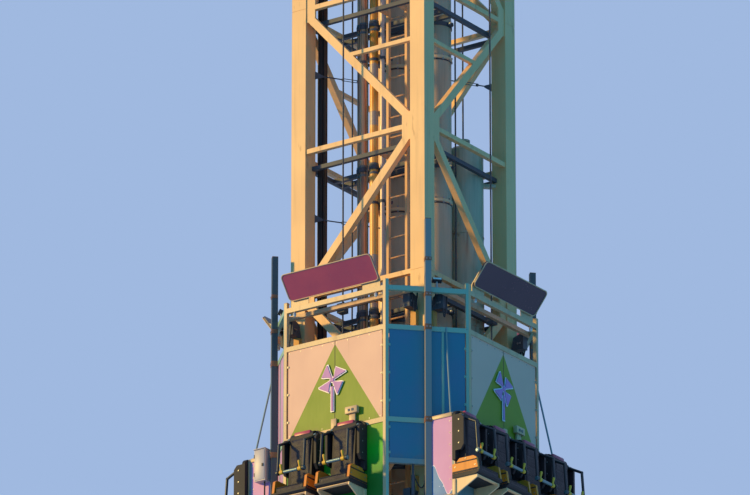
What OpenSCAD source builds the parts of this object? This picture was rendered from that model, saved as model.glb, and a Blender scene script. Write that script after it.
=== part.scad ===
// Drop tower ride: a square lattice tower with a ring-shaped passenger carriage.
// Front is -Y, right is +X. The origin is at ground level on the tower's axis.

/* [Tower] */
// Width of the tower over its columns
tower_w = 2300; // [2200:10:2400]
// Height of one bay of the lattice
bay_h = 4400; // [4200:50:4600]
// Number of bays
bays = 6; // [6:1:7]
// Side of a square column
column_w = 245; // [200:5:270]
// Width of a diagonal, seen on the tower's face
diagonal_w = 115; // [80:5:140]
// Depth of a diagonal, across the tower's face
diagonal_t = 90; // [60:5:110]
// Height of a horizontal bar
horizontal_h = 70; // [50:5:100]
// Depth of a horizontal bar
horizontal_t = 70; // [50:5:90]
// Distance of the bars behind the columns' outer faces
face_setback = 15; // [5:1:25]
// Height of the short strut, as a share of half a bay
strut_share = 0.6; // [0.5:0.05:0.7]
// Side of the short strut
strut_w = 60; // [40:5:70]
// Length of a gusset plate along its column
gusset_h = 420; // [300:10:500]
// Reach of a gusset plate beside its column
gusset_w = 150; // [100:10:200]
// Thickness of a gusset plate
gusset_t = 30; // [20:2:60]

/* [Base] */
// Side of a column's base plate
base_plate_w = 560; // [480:10:600]
// Thickness of a base plate
base_plate_t = 40; // [30:5:60]
// Distance between the anchor holes of a base plate
anchor_pitch = 440; // [400:10:460]
// Diameter of an anchor hole
anchor_d = 34; // [20:1:44]
// Height of the ground beams
ground_beam_h = 200; // [160:10:220]
// Width of the ground beams
ground_beam_w = 180; // [120:10:200]
// Thickness of the pad plate that carries the tubes
pad_t = 24; // [16:2:40]

/* [Head] */
// Height of the head beams
head_beam_h = 200; // [160:10:260]
// Pitch radius of a cable sheave
sheave_r = 300; // [280:5:310]
// Width of a cable sheave
sheave_w = 70; // [60:2:90]
// Depth of the rim outside the cable's centre line
sheave_rim = 28; // [20:1:32]
// Diameter of a hoist cable
cable_d = 24; // [16:1:30]
// Distance of the hoist cables inside the guide beams
cable_clear = 60; // [50:5:70]
// Sideways place of the cables on the front and back faces
cable_front_x = 120; // [80:10:160]
// Distance of the side faces' cables behind the centres of the thrust tubes
cable_behind = 140; // [130:5:160]

/* [Tubes and pipes] */
// Diameter of a thrust tube
tube_d = 430; // [380:10:440]
// Distance of the thrust tubes' centres from each other
tube_pitch = 650; // [600:10:680]
// Distance of the right thrust tube's centre from the right face's inner cable
tube_in = 230; // [220:5:250]
// Clearance between the air receiver and the thrust tubes, along Y
receiver_gap = 30; // [20:5:35]
// Diameter of the yellow pipe
yellow_pipe_d = 125; // [90:5:130]
// Diameter of the brown pipe
brown_pipe_d = 110; // [80:5:115]
// Place of the pipes along Y
pipe_y = -500; // [-520:5:-490]
// Diameter of the air receiver
receiver_d = 550; // [500:10:560]
// Length of the air receiver over its ends
receiver_h = 4200; // [3600:50:4600]
// Width of the ladder between its stiles' centres
ladder_w = 320; // [300:10:400]
// Distance from one rung to the next
rung_pitch = 305; // [280:5:330]
// Diameter of a rung
rung_d = 26; // [20:1:34]

/* [Carriage] */
// Height of the seat rail above ground, with the carriage where it rests
seat_rail_z = 13090; // [12600:10:13500]
// Distance of the carriage's sides outside its guide beams' inner faces
side_room = 310; // [300:5:350]
// Half the width of a side, between the octagon's corners
side_half = 865; // [840:5:900]
// Height of a ring beam
ring_h = 70; // [50:5:90]
// Depth of a ring beam
ring_t = 60; // [40:5:70]
// Reach of a corner post along each side
post_reach = 45; // [30:5:60]
// Height of the panel rail above the seat rail
panel_rise = 1290; // [1200:10:1350]
// Height of the guard rail above the seat rail
guard_rise = 1870; // [1800:10:1950]
// Height of the masts above the seat rail
mast_rise = 2930; // [2700:10:3100]
// Depth of the middle rail below the seat rail
middle_drop = 670; // [620:10:720]
// Depth of the bottom rail below the seat rail
bottom_drop = 1240; // [1180:10:1300]
// Side of a mast
mast_w = 85; // [60:5:100]
// Thickness of a wall panel
panel_t = 14; // [8:1:20]
// Distance of the panels behind the rings' outer faces
panel_setback = 12; // [6:1:20]
// Gap between a panel and the corner post beside it
panel_gap = 22; // [10:1:30]
// Seam between the two boards of a side
seam = 6; // [3:1:12]

/* [Guides] */
// Room for the guides and the hoist cables, from the columns to the guide beams
guide_room = 240; // [235:1:250]
// Side of a guide beam
guide_beam_w = 60; // [40:5:70]
// Running gap between a guide pad and its column
guide_gap = 0.5; // [0.5:0.5:10]
// Length of a guide pad
guide_pad_h = 230; // [160:10:240]

/* [Seats] */
// Distance from one seat to the next
seat_pitch = 730; // [680:10:760]
// Width of a seat
seat_w = 580; // [520:10:600]
// Depth of a seat's pan in front of the wall
seat_depth = 440; // [400:10:480]
// Depth of the seat's cushion below the seat rail
cushion_drop = 850; // [820:10:880]
// Thickness of the cushion
cushion_t = 90; // [60:5:110]
// Thickness of the seat's pan
pan_t = 60; // [40:5:80]
// Sideways offset of the seats on the narrow banks
narrow_offset = 100; // [60:10:110]
// Thickness of a wide bank's wall
bank_t = 60; // [40:5:70]
// Thickness of a bank's end wall
cheek_t = 30; // [20:2:40]

/* [Lap bars] */
// Distance of the pivot in front of the seat's back face
pivot_out = 100; // [90:5:110]
// Depth of the pivot below the seat rail
pivot_drop = 90; // [80:5:100]
// Radius of the pivot pin
pin_r = 16; // [12:1:18]
// Radius of the hub round the pivot pin
hub_r = 34; // [30:1:38]
// Diameter of an arm's tube
arm_d = 40; // [30:1:44]
// Distance of the cross tube in front of the seat's back face
lap_out = 385; // [370:5:400]
// Depth of the cross tube below the seat rail
lap_drop = 640; // [600:10:660]

/* [Sign boards] */
// Length of a sign board
sign_w = 1520; // [1400:10:1600]
// Height of a sign board along its slope
sign_h = 395; // [340:5:440]
// Thickness of a sign board
sign_t = 30; // [20:2:40]
// Lean of a sign board away from upright
sign_lean = 37; // [30:1:42]
// Height of the board's lower edge above the guard rail
sign_rise = 110; // [90:5:140]

/* [Hidden] */
$fn = 48;

half_bay = bay_h / 2;
function level(k) = k == 0 ? ground_beam_h : k * half_bay;
tower_h = bays * bay_h;
tower_half = tower_w / 2;
guide_beam_r = tower_half + guide_room;
side_r = guide_beam_r + side_room;
column_in = tower_half - column_w;
column_mid = tower_half - column_w / 2;
face_r = tower_half - face_setback;
lattice_in = face_r - max(diagonal_t, horizontal_t);
tie_w = 60;
tie_out = lattice_in - 55;
tie_in = tie_out - tie_w;
tie_drop = 180;
support_h = 60;
cable_r = guide_beam_r - cable_clear;
sheave_mid = cable_r - sheave_r;
sheave_low_z = ground_beam_h + sheave_r + sheave_rim + 22;
head_z = tower_h + head_beam_h;
sheave_high_z = head_z + sheave_r + sheave_rim + 22;
bracket_t = 24;
tube_bottom_z = ground_beam_h + pad_t;
tube_top_z = tower_h - 700;
receiver_xy = tie_in - receiver_d / 2 - 35;
receiver_top_z = 4 * bay_h + 290;
tube_x = sheave_mid - sheave_r - tube_in;
tube_y = receiver_xy - (receiver_d + tube_d) / 2 - receiver_gap;
cable_side_y = tube_y + cable_behind;
left_tube_x = tube_x - tube_pitch;
yellow_pipe_x = -170;
brown_pipe_x = -350;
thin_pipe_x = -440;
thin_pipe_d = 36;
clamp_gap = 0.3;
clamp_wall = 12;
ladder_x = 390;
ladder_y = -710;
stile_w = 40;
stile_d = 60;
tray_rail_w = 45;
tray_rail_d = 70;
tray_y = -740;
tray_pitch = 90;
tray_top_gap = 600;
tray_bottom_z = 300;
clamp_block_w = 120;
clamp_block_h = 140;
band_drop = 750;
post_rise = 80;

corner_d = (side_r + side_half) / sqrt(2);
corner_len = (side_r - side_half) * sqrt(2);
panel_z = seat_rail_z + panel_rise;
guard_z = seat_rail_z + guard_rise;
middle_z = seat_rail_z - middle_drop;
bottom_z = seat_rail_z - bottom_drop;
mast_d = corner_d + mast_w / 2;
bank_half = mast_d / sqrt(2) - 12;
panel_out = side_r - panel_setback;
corner_panel_out = corner_d - panel_setback;
wide_wall_out = side_r + bank_t;
guide_x = tower_half - 150;
housing_w = 110;
housing_h = 190;
guide_pad_w = 90;
guide_pad_t = 70;
seat_back_t = 130;
shell_t = 50;
seat_side_rise = 120;
shell_low = cushion_drop - seat_side_rise;
wing_out = 190;
wing_top = 80;
wing_low = 600;
seat_side_t = 40;
seat_low = cushion_drop + cushion_t + pan_t;
pan_gap = 0.3;
weld_gap = 0.02;
fit_gap = 0.4;
arm_x = seat_w / 2 - 70;
hub_w = 44;
back_half = arm_x - hub_w / 2 - 6;
sign_out = side_r - 20;
stay_out = side_r - 230;
stay_d = 26;
box_w = 185;
box_t = 120;
box_h = 470;
box_drop = 400;
box_out = (mast_d + mast_w) / sqrt(2) + 12;

/* Placing */

// The four faces of the tower and sides of the carriage: front, right, back and left
module on_side(i) {
    rotate([0, 0, 90 * i]) children();
}

// Each of the four corners; a child that faces -Y is turned to face the corner
module on_corner(i) {
    rotate([0, 0, 45 + 90 * i]) children();
}

/* Tower */

module base_plates() {
    color("dimgray")
        for (x = [-1, 1], y = [-1, 1])
            difference() {
                translate([x * column_mid - base_plate_w / 2, y * column_mid - base_plate_w / 2, 0])
                    cube([base_plate_w, base_plate_w, base_plate_t]);
                for (u = [-1, 1], v = [-1, 1])
                    translate([x * column_mid + u * anchor_pitch / 2,
                        y * column_mid + v * anchor_pitch / 2, -1])
                        cylinder(h = base_plate_t + 2, d = anchor_d);
            }
}

// Four edge beams between the base plates, a cross that meets on the axis, and the tubes' pad plate
module ground_frame() {
    edge = column_mid - base_plate_w / 2;
    color("dimgray")
        union() {
            for (i = [0:3])
                on_side(i)
                    translate([-edge, -column_mid - ground_beam_w / 2, 0])
                        cube([2 * edge, ground_beam_w, ground_beam_h]);
            for (i = [0:1])
                on_side(i)
                    translate([-ground_beam_w / 2, -column_mid, 0])
                        cube([ground_beam_w, 2 * column_mid, ground_beam_h]);
            translate([thin_pipe_x - 80, pipe_y - 100, ground_beam_h])
                cube([tube_x - thin_pipe_x + tube_d / 2 + 140, tube_y - pipe_y + tube_d / 2 + 160, pad_t]);
        }
}

// One box column on its base plate, with a shallow groove at each splice
module column(x, y) {
    color("navajowhite")
        difference() {
            translate([x * column_mid - column_w / 2, y * column_mid - column_w / 2, base_plate_t])
                cube([column_w, column_w, tower_h - base_plate_t]);
            for (k = [0:bays - 1])
                translate([x * column_mid, y * column_mid, (k + 0.5) * bay_h])
                    difference() {
                        cube([column_w + 2, column_w + 2, 12], center = true);
                        cube([column_w - 8, column_w - 8, 14], center = true);
                    }
        }
}

// One bar of the lattice from (x0, z0) to (x1, z1) on the front face
module face_bar(x0, z0, x1, z1, w, t) {
    len = norm([x1 - x0, z1 - z0]);
    translate([x0, -face_r, z0])
        rotate([0, -atan2(z1 - z0, x1 - x0), 0])
            translate([0, 0, -w / 2])
                cube([len, t, w]);
}

// One face: diagonals, a horizontal at each level, a short strut and gussets.
// The levels' nodes lie at the column on side s, and half a bay higher at the other one.
module lattice(s) {
    node_x = s * column_in;
    reach = column_w / 3;
    color("navajowhite")
        intersection() {
            translate([-column_in, -tower_half, ground_beam_h])
                cube([2 * column_in, column_w, tower_h - ground_beam_h]);
            union() {
                for (k = [0:2 * bays - 1]) {
                    up = k % 2 == 0 ? 1 : -1;
                    face_bar(up * (node_x + s * reach), level(k), -up * (node_x + s * reach), level(k + 1),
                        diagonal_w, diagonal_t);
                }
                for (k = [1:2 * bays - 1])
                    face_bar(-tower_half, level(k), tower_half, level(k), horizontal_h, horizontal_t);
                face_bar(-tower_half, tower_h - horizontal_h / 2, tower_half, tower_h - horizontal_h / 2,
                    horizontal_h, horizontal_t);
                for (k = [0:bays - 1])
                    face_bar(s * (column_in - 2 * column_in * strut_share), k * bay_h + strut_share * half_bay,
                        s * column_in, k * bay_h + strut_share * half_bay, strut_w, strut_w);
                for (k = [0:2 * bays]) {
                    side = k % 2 == 0 ? s : -s;
                    translate([side > 0 ? column_in - gusset_w : -column_in, -face_r, level(k) - gusset_h / 2])
                        cube([gusset_w, gusset_t, gusset_h]);
                }
            }
        }
}

module lattice_front() { lattice(1); }
module lattice_right() { on_side(1) lattice(-1); }
module lattice_back() { on_side(2) lattice(1); }
module lattice_left() { on_side(3) lattice(-1); }

// Bars inside the lattice, just below each level, that tie the columns and carry the supports
module inner_ties() {
    color("tan")
        for (k = [1:2 * bays - 1], i = [0:3])
            on_side(i)
                translate([-column_in, -tie_out, level(k) - tie_drop - tie_w])
                    cube([2 * column_in, tie_w, tie_w]);
}

// A clamp ring on its web, at (x, y), that reaches back to the beam at beam_y
module clamp(x, y, d, beam_y) {
    r = d / 2 + clamp_gap;
    difference() {
        union() {
            cylinder_at(x, y, r + clamp_wall, support_h);
            translate([x - clamp_wall, min(y, beam_y), 0])
                cube([2 * clamp_wall, abs(beam_y - y), support_h]);
        }
        translate([x, y, -1])
            cylinder(h = support_h + 2, r = r);
    }
}

module cylinder_at(x, y, r, h) {
    translate([x, y, 0])
        cylinder(h = h, r = r);
}

// At each level one beam carries the clamps of the thrust tubes, and one those of the pipes
module tube_supports() {
    tube_beam_y = tube_y - tube_d / 2 - clamp_wall - 20;
    pipe_beam_y = pipe_y + yellow_pipe_d / 2 + clamp_wall + 12;
    color("slategray")
        for (k = [1:2 * bays - 1])
            translate([0, 0, level(k) - tie_drop - tie_w]) {
                union() {
                    translate([-tie_in, tube_beam_y - support_h, 0])
                        cube([2 * tie_in, support_h, support_h]);
                    clamp(tube_x, tube_y, tube_d, tube_beam_y);
                    clamp(left_tube_x, tube_y, tube_d, tube_beam_y);
                }
                union() {
                    translate([-tie_in, pipe_beam_y, 0])
                        cube([2 * tie_in, support_h, support_h]);
                    clamp(yellow_pipe_x, pipe_y, yellow_pipe_d, pipe_beam_y);
                    clamp(brown_pipe_x, pipe_y, brown_pipe_d, pipe_beam_y);
                    clamp(thin_pipe_x, pipe_y, thin_pipe_d, pipe_beam_y);
                }
            }
}

// The two long tubes of the air drive, flanged at both ends, with a band at each joint
module thrust_tubes() {
    color("slategray")
        for (x = [tube_x, left_tube_x])
            translate([x, tube_y, tube_bottom_z])
                rotate_extrude()
                    polygon(concat(
                        [[0, 0], [tube_d / 2 + 28, 0], [tube_d / 2 + 28, 30], [tube_d / 2, 30]],
                        [for (k = [1:2 * bays - 1]) each tube_band(k * half_bay - band_drop - tube_bottom_z)],
                        [[tube_d / 2, tube_top_z - 30], [tube_d / 2 + 28, tube_top_z - 30],
                            [tube_d / 2 + 28, tube_top_z], [0, tube_top_z]]));
}

function tube_band(z) = [
    [tube_d / 2, z], [tube_d / 2 + 14, z + 6], [tube_d / 2 + 14, z + 44], [tube_d / 2, z + 50]
];

// A welded air receiver with domed ends, held to the back right column by two arms
module air_receiver() {
    r = receiver_d / 2;
    dome = r * 0.5;
    low = receiver_top_z - receiver_h;
    color("slategray")
        union() {
            translate([receiver_xy, receiver_xy, low])
                rotate_extrude()
                    polygon(concat(
                        [for (a = [-90:15:0]) [r * cos(a), dome + dome * sin(a)]],
                        [for (a = [0:15:90]) [r * cos(a), receiver_h - dome + dome * sin(a)]]));
            difference() {
                for (z = [low + 700, receiver_top_z - 600])
                    translate([receiver_xy, receiver_xy, z])
                        rotate([0, 0, 45])
                            translate([r - 20, -45, 0])
                                cube([(column_in - receiver_xy) * sqrt(2) - r + 80, 90, 50]);
                translate([column_in, column_in, 0])
                    cube([column_w, column_w, tower_h]);
            }
        }
}

// The yellow and brown pipes and a thin conduit
module service_pipes() {
    pipes = [[yellow_pipe_x, yellow_pipe_d, "orange"], [brown_pipe_x, brown_pipe_d, "rosybrown"],
        [thin_pipe_x, thin_pipe_d, "tan"]];
    for (p = pipes)
        color(p[2])
            translate([p[0], pipe_y, tube_bottom_z])
                cylinder(h = tube_top_z, d = p[1]);
}

// Two channels for the carriage's electric cable, on the inner ties of the left face
module cable_tray() {
    color("black")
        for (s = [-1, 1])
            translate([-tie_in, tray_y + s * tray_pitch / 2 - tray_rail_w / 2, tray_bottom_z])
                difference() {
                    cube([tray_rail_d, tray_rail_w, tower_h - tray_top_gap - tray_bottom_z]);
                    translate([20, 10, -1])
                        cube([tray_rail_d, tray_rail_w - 20, tower_h]);
                }
}

// Stiles, rungs and the arms that hold them to the front face's inner ties
module ladder() {
    rungs = floor((tower_h - 900) / rung_pitch);
    color("peru")
        union() {
            for (s = [-1, 1])
                translate([ladder_x + s * ladder_w / 2 - stile_w / 2, ladder_y - stile_d / 2, 0])
                    cube([stile_w, stile_d, tower_h - 300]);
            for (k = [1:rungs])
                translate([ladder_x - ladder_w / 2, ladder_y, 300 + k * rung_pitch])
                    rotate([0, 90, 0])
                        cylinder(h = ladder_w, d = rung_d, $fn = 8);
            for (k = [1:2 * bays - 1], s = [-1, 1])
                translate([ladder_x + s * ladder_w / 2 - stile_w / 4, -tie_in, level(k) - tie_drop - tie_w])
                    cube([stile_w / 2, tie_in + ladder_y, tie_w]);
        }
}

// Where the cable loop of face i crosses that face, sideways
function cable_x(i) = i % 2 == 0 ? -cable_front_x : cable_side_y;

// One hoist cable: up outside the face, over the head sheave, down inside and round the low sheave
module cable_loop(x) {
    translate([x, -sheave_mid, sheave_low_z])
        union() {
            for (y = [-sheave_r, sheave_r])
                translate([0, y, 0])
                    cylinder(h = sheave_high_z - sheave_low_z, d = cable_d, $fn = 24);
            translate([0, 0, sheave_high_z - sheave_low_z])
                half_turn(0);
            half_turn(180);
        }
}

module half_turn(a) {
    rotate([a, 0, 0])
        rotate([0, 90, 0])
            rotate([0, 0, 90])
                rotate_extrude(angle = 180, $fn = 48)
                    translate([sheave_r, 0])
                        circle(d = cable_d, $fn = 24);
}

module hoist_cables() {
    color("darkslategray")
        for (i = [0:3])
            on_side(i)
                cable_loop(cable_x(i));
}

// A grooved sheave with its hub; the groove leaves a small gap to the cable
module sheave() {
    groove_r = cable_d / 2 + clamp_gap;
    rotate([0, 90, 0])
        difference() {
            union() {
                cylinder(h = sheave_w, r = sheave_r + sheave_rim, center = true, $fn = 96);
                cylinder(h = sheave_w + 40, r = 70, center = true);
            }
            rotate_extrude($fn = 96)
                translate([sheave_r, 0])
                    union() {
                        circle(r = groove_r, $fn = 24);
                        translate([0, -groove_r])
                            square([sheave_rim + 2, 2 * groove_r]);
                    }
        }
}

module cable_sheaves() {
    color("gray")
        for (i = [0:3], z = [sheave_low_z, sheave_high_z])
            on_side(i)
                translate([cable_x(i), -sheave_mid, z])
                    sheave();
}

// Two upright plates beside each sheave, with the hub between them
module sheave_brackets() {
    inner = sheave_w / 2 + 20;
    color("dimgray")
        for (i = [0:3], base = [ground_beam_h, head_z])
            on_side(i)
                for (s = [0, 1])
                    translate([cable_x(i) + (s == 0 ? -inner - bracket_t : inner), -sheave_mid, base])
                        rotate([90, 0, 90])
                            linear_extrude(bracket_t)
                                polygon([[-85, 0], [85, 0], [75, sheave_r + 50], [40, sheave_r + 120],
                                    [-40, sheave_r + 120], [-75, sheave_r + 50]]);
}

// Four beams on the columns' tops, and two across
module head_frame() {
    cross_w = 100;
    cross_y = cable_side_y + cable_d / 2 + 18 + cross_w / 2;
    color("navajowhite")
        union() {
            for (i = [0:3])
                on_side(i)
                    translate([-tower_half, -tower_half, tower_h])
                        cube([tower_w, column_w, head_beam_h]);
            for (y = [-1, 1])
                translate([-column_in, y * cross_y - cross_w / 2, tower_h])
                    cube([2 * column_in, cross_w, head_beam_h - 60]);
        }
}

/* Carriage frame */

// The corner post's outline at the octagon's corner between the front side and the corner beside it
module post_outline() {
    c = sqrt(0.5);
    polygon([
        [side_half - post_reach, -side_r],
        [side_half, -side_r],
        [side_half + post_reach * c, -side_r + post_reach * c],
        [side_half + post_reach * c - ring_t * c, -side_r + post_reach * c + ring_t * c],
        [side_half - post_reach, -side_r + ring_t]
    ]);
}

module corner_posts() {
    color("bisque")
        for (i = [0:3], m = [0, 1])
            on_side(i)
                mirror([m, 0, 0])
                    translate([0, 0, bottom_z])
                        linear_extrude(guard_z + ring_h + post_rise - bottom_z)
                            post_outline();
}

// A beam of each side, and one of each corner, between the posts; z is the beam's underside
module ring(z) {
    for (i = [0:3]) {
        on_side(i)
            side_beam(z);
        corner_beam(i, z);
    }
}

module side_beam(z) {
    translate([-side_half + post_reach, -side_r, z])
        cube([2 * (side_half - post_reach), ring_t, ring_h]);
}

module corner_beam(i, z) {
    half = corner_len / 2 - post_reach - weld_gap;
    on_corner(i)
        translate([-half, -corner_d, z])
            cube([2 * half, ring_t, ring_h]);
}

module guard_ring() { color("bisque") ring(guard_z); }
module panel_ring() { color("bisque") ring(panel_z); }
module seat_ring() { color("bisque") ring(seat_rail_z - ring_h); }
module middle_ring() { color("cadetblue") for (i = [0:3]) corner_beam(i, middle_z); }
module bottom_ring() { color("bisque") ring(bottom_z); }

// Inner beams beside the tower that carry the guides, with ends cut to meet the corner beams
module guide_beam(z) {
    inner_sum = (corner_d - ring_t) * sqrt(2);
    near = guide_beam_r;
    far = guide_beam_r + guide_beam_w;
    translate([0, 0, z])
        linear_extrude(guide_beam_w)
            polygon([[-(inner_sum - near), -near], [inner_sum - near, -near],
                [inner_sum - far, -far], [-(inner_sum - far), -far]]);
}

module guide_beams() {
    color("cadetblue")
        for (i = [0:3])
            on_side(i) {
                guide_beam(guard_z);
                guide_beam(bottom_z);
            }
}

// A housing on the inner face of a guide beam whose underside is at z = 0, with the pad's seat below
module guide_housing() {
    reach = guide_beam_r - tower_half - 30;
    translate([-housing_w / 2, -guide_beam_r, -housing_h])
        rotate([90, 0, 90])
            linear_extrude(housing_w)
                polygon([[0, 0], [reach, 0], [reach - 40, housing_h], [0, housing_h + guide_beam_w]]);
}

// A wear pad under the housing, which runs along the column with a small gap
module guide_pad() {
    translate([-guide_pad_w / 2, -tower_half - guide_gap - guide_pad_t, -housing_h - guide_pad_h])
        cube([guide_pad_w, guide_pad_t, guide_pad_h]);
}

// Two guides beside each column face, below the upper beams and above the lower ones
module each_guide() {
    for (i = [0:3], s = [-1, 1])
        on_side(i) {
            translate([s * guide_x, 0, guard_z])
                children();
            translate([s * guide_x, 0, bottom_z + guide_beam_w])
                mirror([0, 0, 1])
                    children();
        }
}

module guide_housings() {
    color("black")
        each_guide()
            guide_housing();
}

module guide_pads() {
    color("gold")
        each_guide()
            guide_pad();
}

// Blocks on the upper guide beams with the hoist cables through them
module cable_clamps() {
    color("gray")
        for (i = [0:3])
            on_side(i)
                difference() {
                    translate([cable_x(i) - clamp_block_w / 2, -guide_beam_r, guard_z - 40])
                        cube([clamp_block_w, cable_clear + 50, clamp_block_h]);
                    translate([cable_x(i), -cable_r, guard_z - 41])
                        cylinder(h = clamp_block_h + 2, d = cable_d + 12);
                }
}

module masts() {
    color("cadetblue")
        for (i = [0:3])
            on_corner(i)
                translate([-mast_w / 2, -corner_d - mast_w, bottom_z])
                    cube([mast_w, mast_w, bottom_drop + mast_rise]);
}

/* Walls */

// Two boards on each side between the seat rail and the panel rail
module side_panels() {
    w = side_half - post_reach - panel_gap - seam / 2;
    color("peachpuff")
        for (i = [0:3], s = [0, 1])
            on_side(i)
                mirror([s, 0, 0])
                    translate([seam / 2, -panel_out, seat_rail_z])
                        cube([w, panel_t, panel_rise]);
}

// Two panels on each corner above the seat rail, and two below it
module corner_panels() {
    w = corner_len / 2 - post_reach - panel_gap / 2 - seam / 2;
    for (i = [0:3], s = [0, 1])
        color(i % 2 == 0 ? "steelblue" : "pink")
            on_corner(i)
                mirror([s, 0, 0]) {
                    translate([seam / 2, -corner_panel_out, seat_rail_z])
                        cube([w, panel_t, panel_rise]);
                    translate([seam / 2, -corner_panel_out, middle_z + ring_h])
                        cube([w, panel_t, middle_drop - 2 * ring_h]);
                }
}

// The wall behind the seats of the two narrow banks
module narrow_bank_walls() {
    color("green")
        for (i = [0, 2])
            on_side(i)
                translate([-side_half + post_reach, -panel_out, bottom_z + ring_h])
                    cube([2 * (side_half - post_reach), panel_t, bottom_drop - 2 * ring_h]);
}

// The wall that carries the seats of the two wide banks
module wide_bank_walls() {
    color("cadetblue")
        for (i = [1, 3])
            on_side(i)
                translate([-bank_half, -wide_wall_out, bottom_z])
                    cube([2 * bank_half, bank_t, bottom_drop]);
}

// The painted walls that close the ends of the wide banks, from the mast out to the bank's wall
module end_walls() {
    mast_side = mast_w / sqrt(2);
    color("pink")
        for (i = [1, 3], s = [0, 1])
            on_side(i)
                mirror([s, 0, 0])
                    translate([0, 0, bottom_z])
                        linear_extrude(bottom_drop)
                            polygon([[bank_half, -side_r], [bank_half, -bank_half - mast_side],
                                [bank_half - cheek_t, -bank_half + cheek_t - mast_side],
                                [bank_half - cheek_t, -side_r]]);
}

// A rod from the panel rail at each corner down to the outer end of the bank's end wall.
// Its ends are cut flush with the rail's outer face and the end wall's top.
module stay_rods() {
    top_x = corner_d * sqrt(2) - stay_out;
    top = [top_x, -stay_out, panel_z + ring_h / 2];
    foot = [bank_half - cheek_t / 2, -side_r + 30, seat_rail_z];
    more = (top - foot) / norm(top - foot) * 40;
    color("cadetblue")
        for (i = [1, 3], s = [0, 1])
            on_side(i)
                mirror([s, 0, 0])
                    difference() {
                        rod(foot - more, top + more, stay_d / 2);
                        translate([0, -2 * side_r, seat_rail_z - 100])
                            cube([2 * side_r, 2 * side_r, 100]);
                        rotate([0, 0, 45])
                            translate([-side_r, -corner_d, seat_rail_z])
                                cube([2 * side_r, corner_d, 2 * panel_rise]);
                    }
}

// A straight round bar between two points
module rod(a, b, r) {
    d = b - a;
    len = norm(d);
    translate(a)
        rotate([0, acos(d[2] / len), atan2(d[1], d[0])])
            cylinder(h = len, r = r, $fn = 16);
}

/* Seats */

// Seats stand against a wall at distance r, and are drawn in the frame of their side
function seats_of(i) = i % 2 == 0
    ? [for (k = [-0.5, 0.5]) k * seat_pitch - narrow_offset]
    : [for (k = [-1.5:1:1.5]) k * seat_pitch];
function wall_of(i) = i % 2 == 0 ? side_r : wide_wall_out;

module each_seat() {
    for (i = [0:3])
        on_side(i)
            for (x = seats_of(i))
                translate([x, -wall_of(i), seat_rail_z])
                    children();
}

// A profile drawn as [outward, up], extruded sideways from -w/2 to w/2
module across(w) {
    rotate([90, 0, -90])
        translate([0, 0, -w / 2])
            linear_extrude(w)
                children();
}

// The high back: a wide shell with a wing at each side, a pad with a rounded top, and the pivot pins
module seat_back() {
    shell_r = 90;
    union() {
        rotate([90, 0, 0])
            linear_extrude(shell_t)
                hull() {
                    translate([-seat_w / 2, -shell_low])
                        square([seat_w, shell_low - shell_r]);
                    for (s = [-1, 1])
                        translate([s * (seat_w / 2 - shell_r), -shell_r])
                            circle(r = shell_r);
                }
        for (s = [-1, 1])
            translate([s * (seat_w - seat_side_t) / 2, 0, 0])
                across(seat_side_t)
                    polygon([[shell_t - 10, -wing_low], [wing_out - 50, -wing_low], [wing_out, -wing_low + 70],
                        [wing_out, -wing_top - 60], [wing_out - 50, -wing_top], [shell_t - 10, -wing_top]]);
        across(2 * back_half)
            polygon(concat(
                [[0, -cushion_drop], [seat_back_t + 40, -cushion_drop]],
                [for (a = [0:15:90]) [seat_back_t - 70 + 70 * cos(a), -70 + 70 * sin(a)]],
                [[0, 0]]));
        for (s = [-1, 1])
            translate([s * back_half, -pivot_out, -pivot_drop])
                rotate([0, s * 90, 0])
                    translate([0, 0, -2])
                        union() {
                            cylinder(h = hub_w + 14, r = pin_r);
                            translate([0, 0, hub_w + 9])
                                cylinder(h = 10, r = pin_r + 10);
                        }
    }
}

module seat_backs() {
    color("black")
        each_seat()
            seat_back();
}

module seat_pans() {
    color("black")
        each_seat()
            across(seat_w)
                polygon([[0, -seat_low], [seat_depth - 60, -seat_low], [seat_depth, -seat_low + 30],
                    [seat_depth, -seat_low + pan_t], [0, -seat_low + pan_t]]);
}

// The upright sides of the bucket, beside the cushion
module seat_sides() {
    color("orange")
        each_seat()
            for (s = [-1, 1])
                translate([s * (seat_w - seat_side_t) / 2, 0, 0])
                    across(seat_side_t)
                        polygon([[0, -seat_low + pan_t], [seat_depth - 10, -seat_low + pan_t],
                            [seat_depth - 40, -shell_low - 30], [seat_depth - 90, -shell_low],
                            [120, -shell_low], [60, -shell_low - 60], [0, -shell_low - 70]]);
}

module seat_cushions() {
    color("dimgray")
        each_seat()
            across(seat_w - 2 * seat_side_t - 2)
                polygon([[2, -seat_low + pan_t + pan_gap], [seat_depth - 12, -seat_low + pan_t + pan_gap],
                    [seat_depth - 2, -cushion_drop - 40], [seat_depth - 30, -cushion_drop - pan_gap],
                    [2, -cushion_drop - pan_gap]]);
}

// Triangular plates under each seat's pan, fixed to the wall
module seat_brackets() {
    color("sandybrown")
        each_seat()
            for (s = [-1, 1])
                translate([s * (seat_w / 2 - 30), 0, 0])
                    across(20)
                        polygon([[0, -bottom_drop], [24, -bottom_drop], [seat_depth - 40, -seat_low - 40],
                            [seat_depth - 40, -seat_low], [0, -seat_low]]);
}

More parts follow.
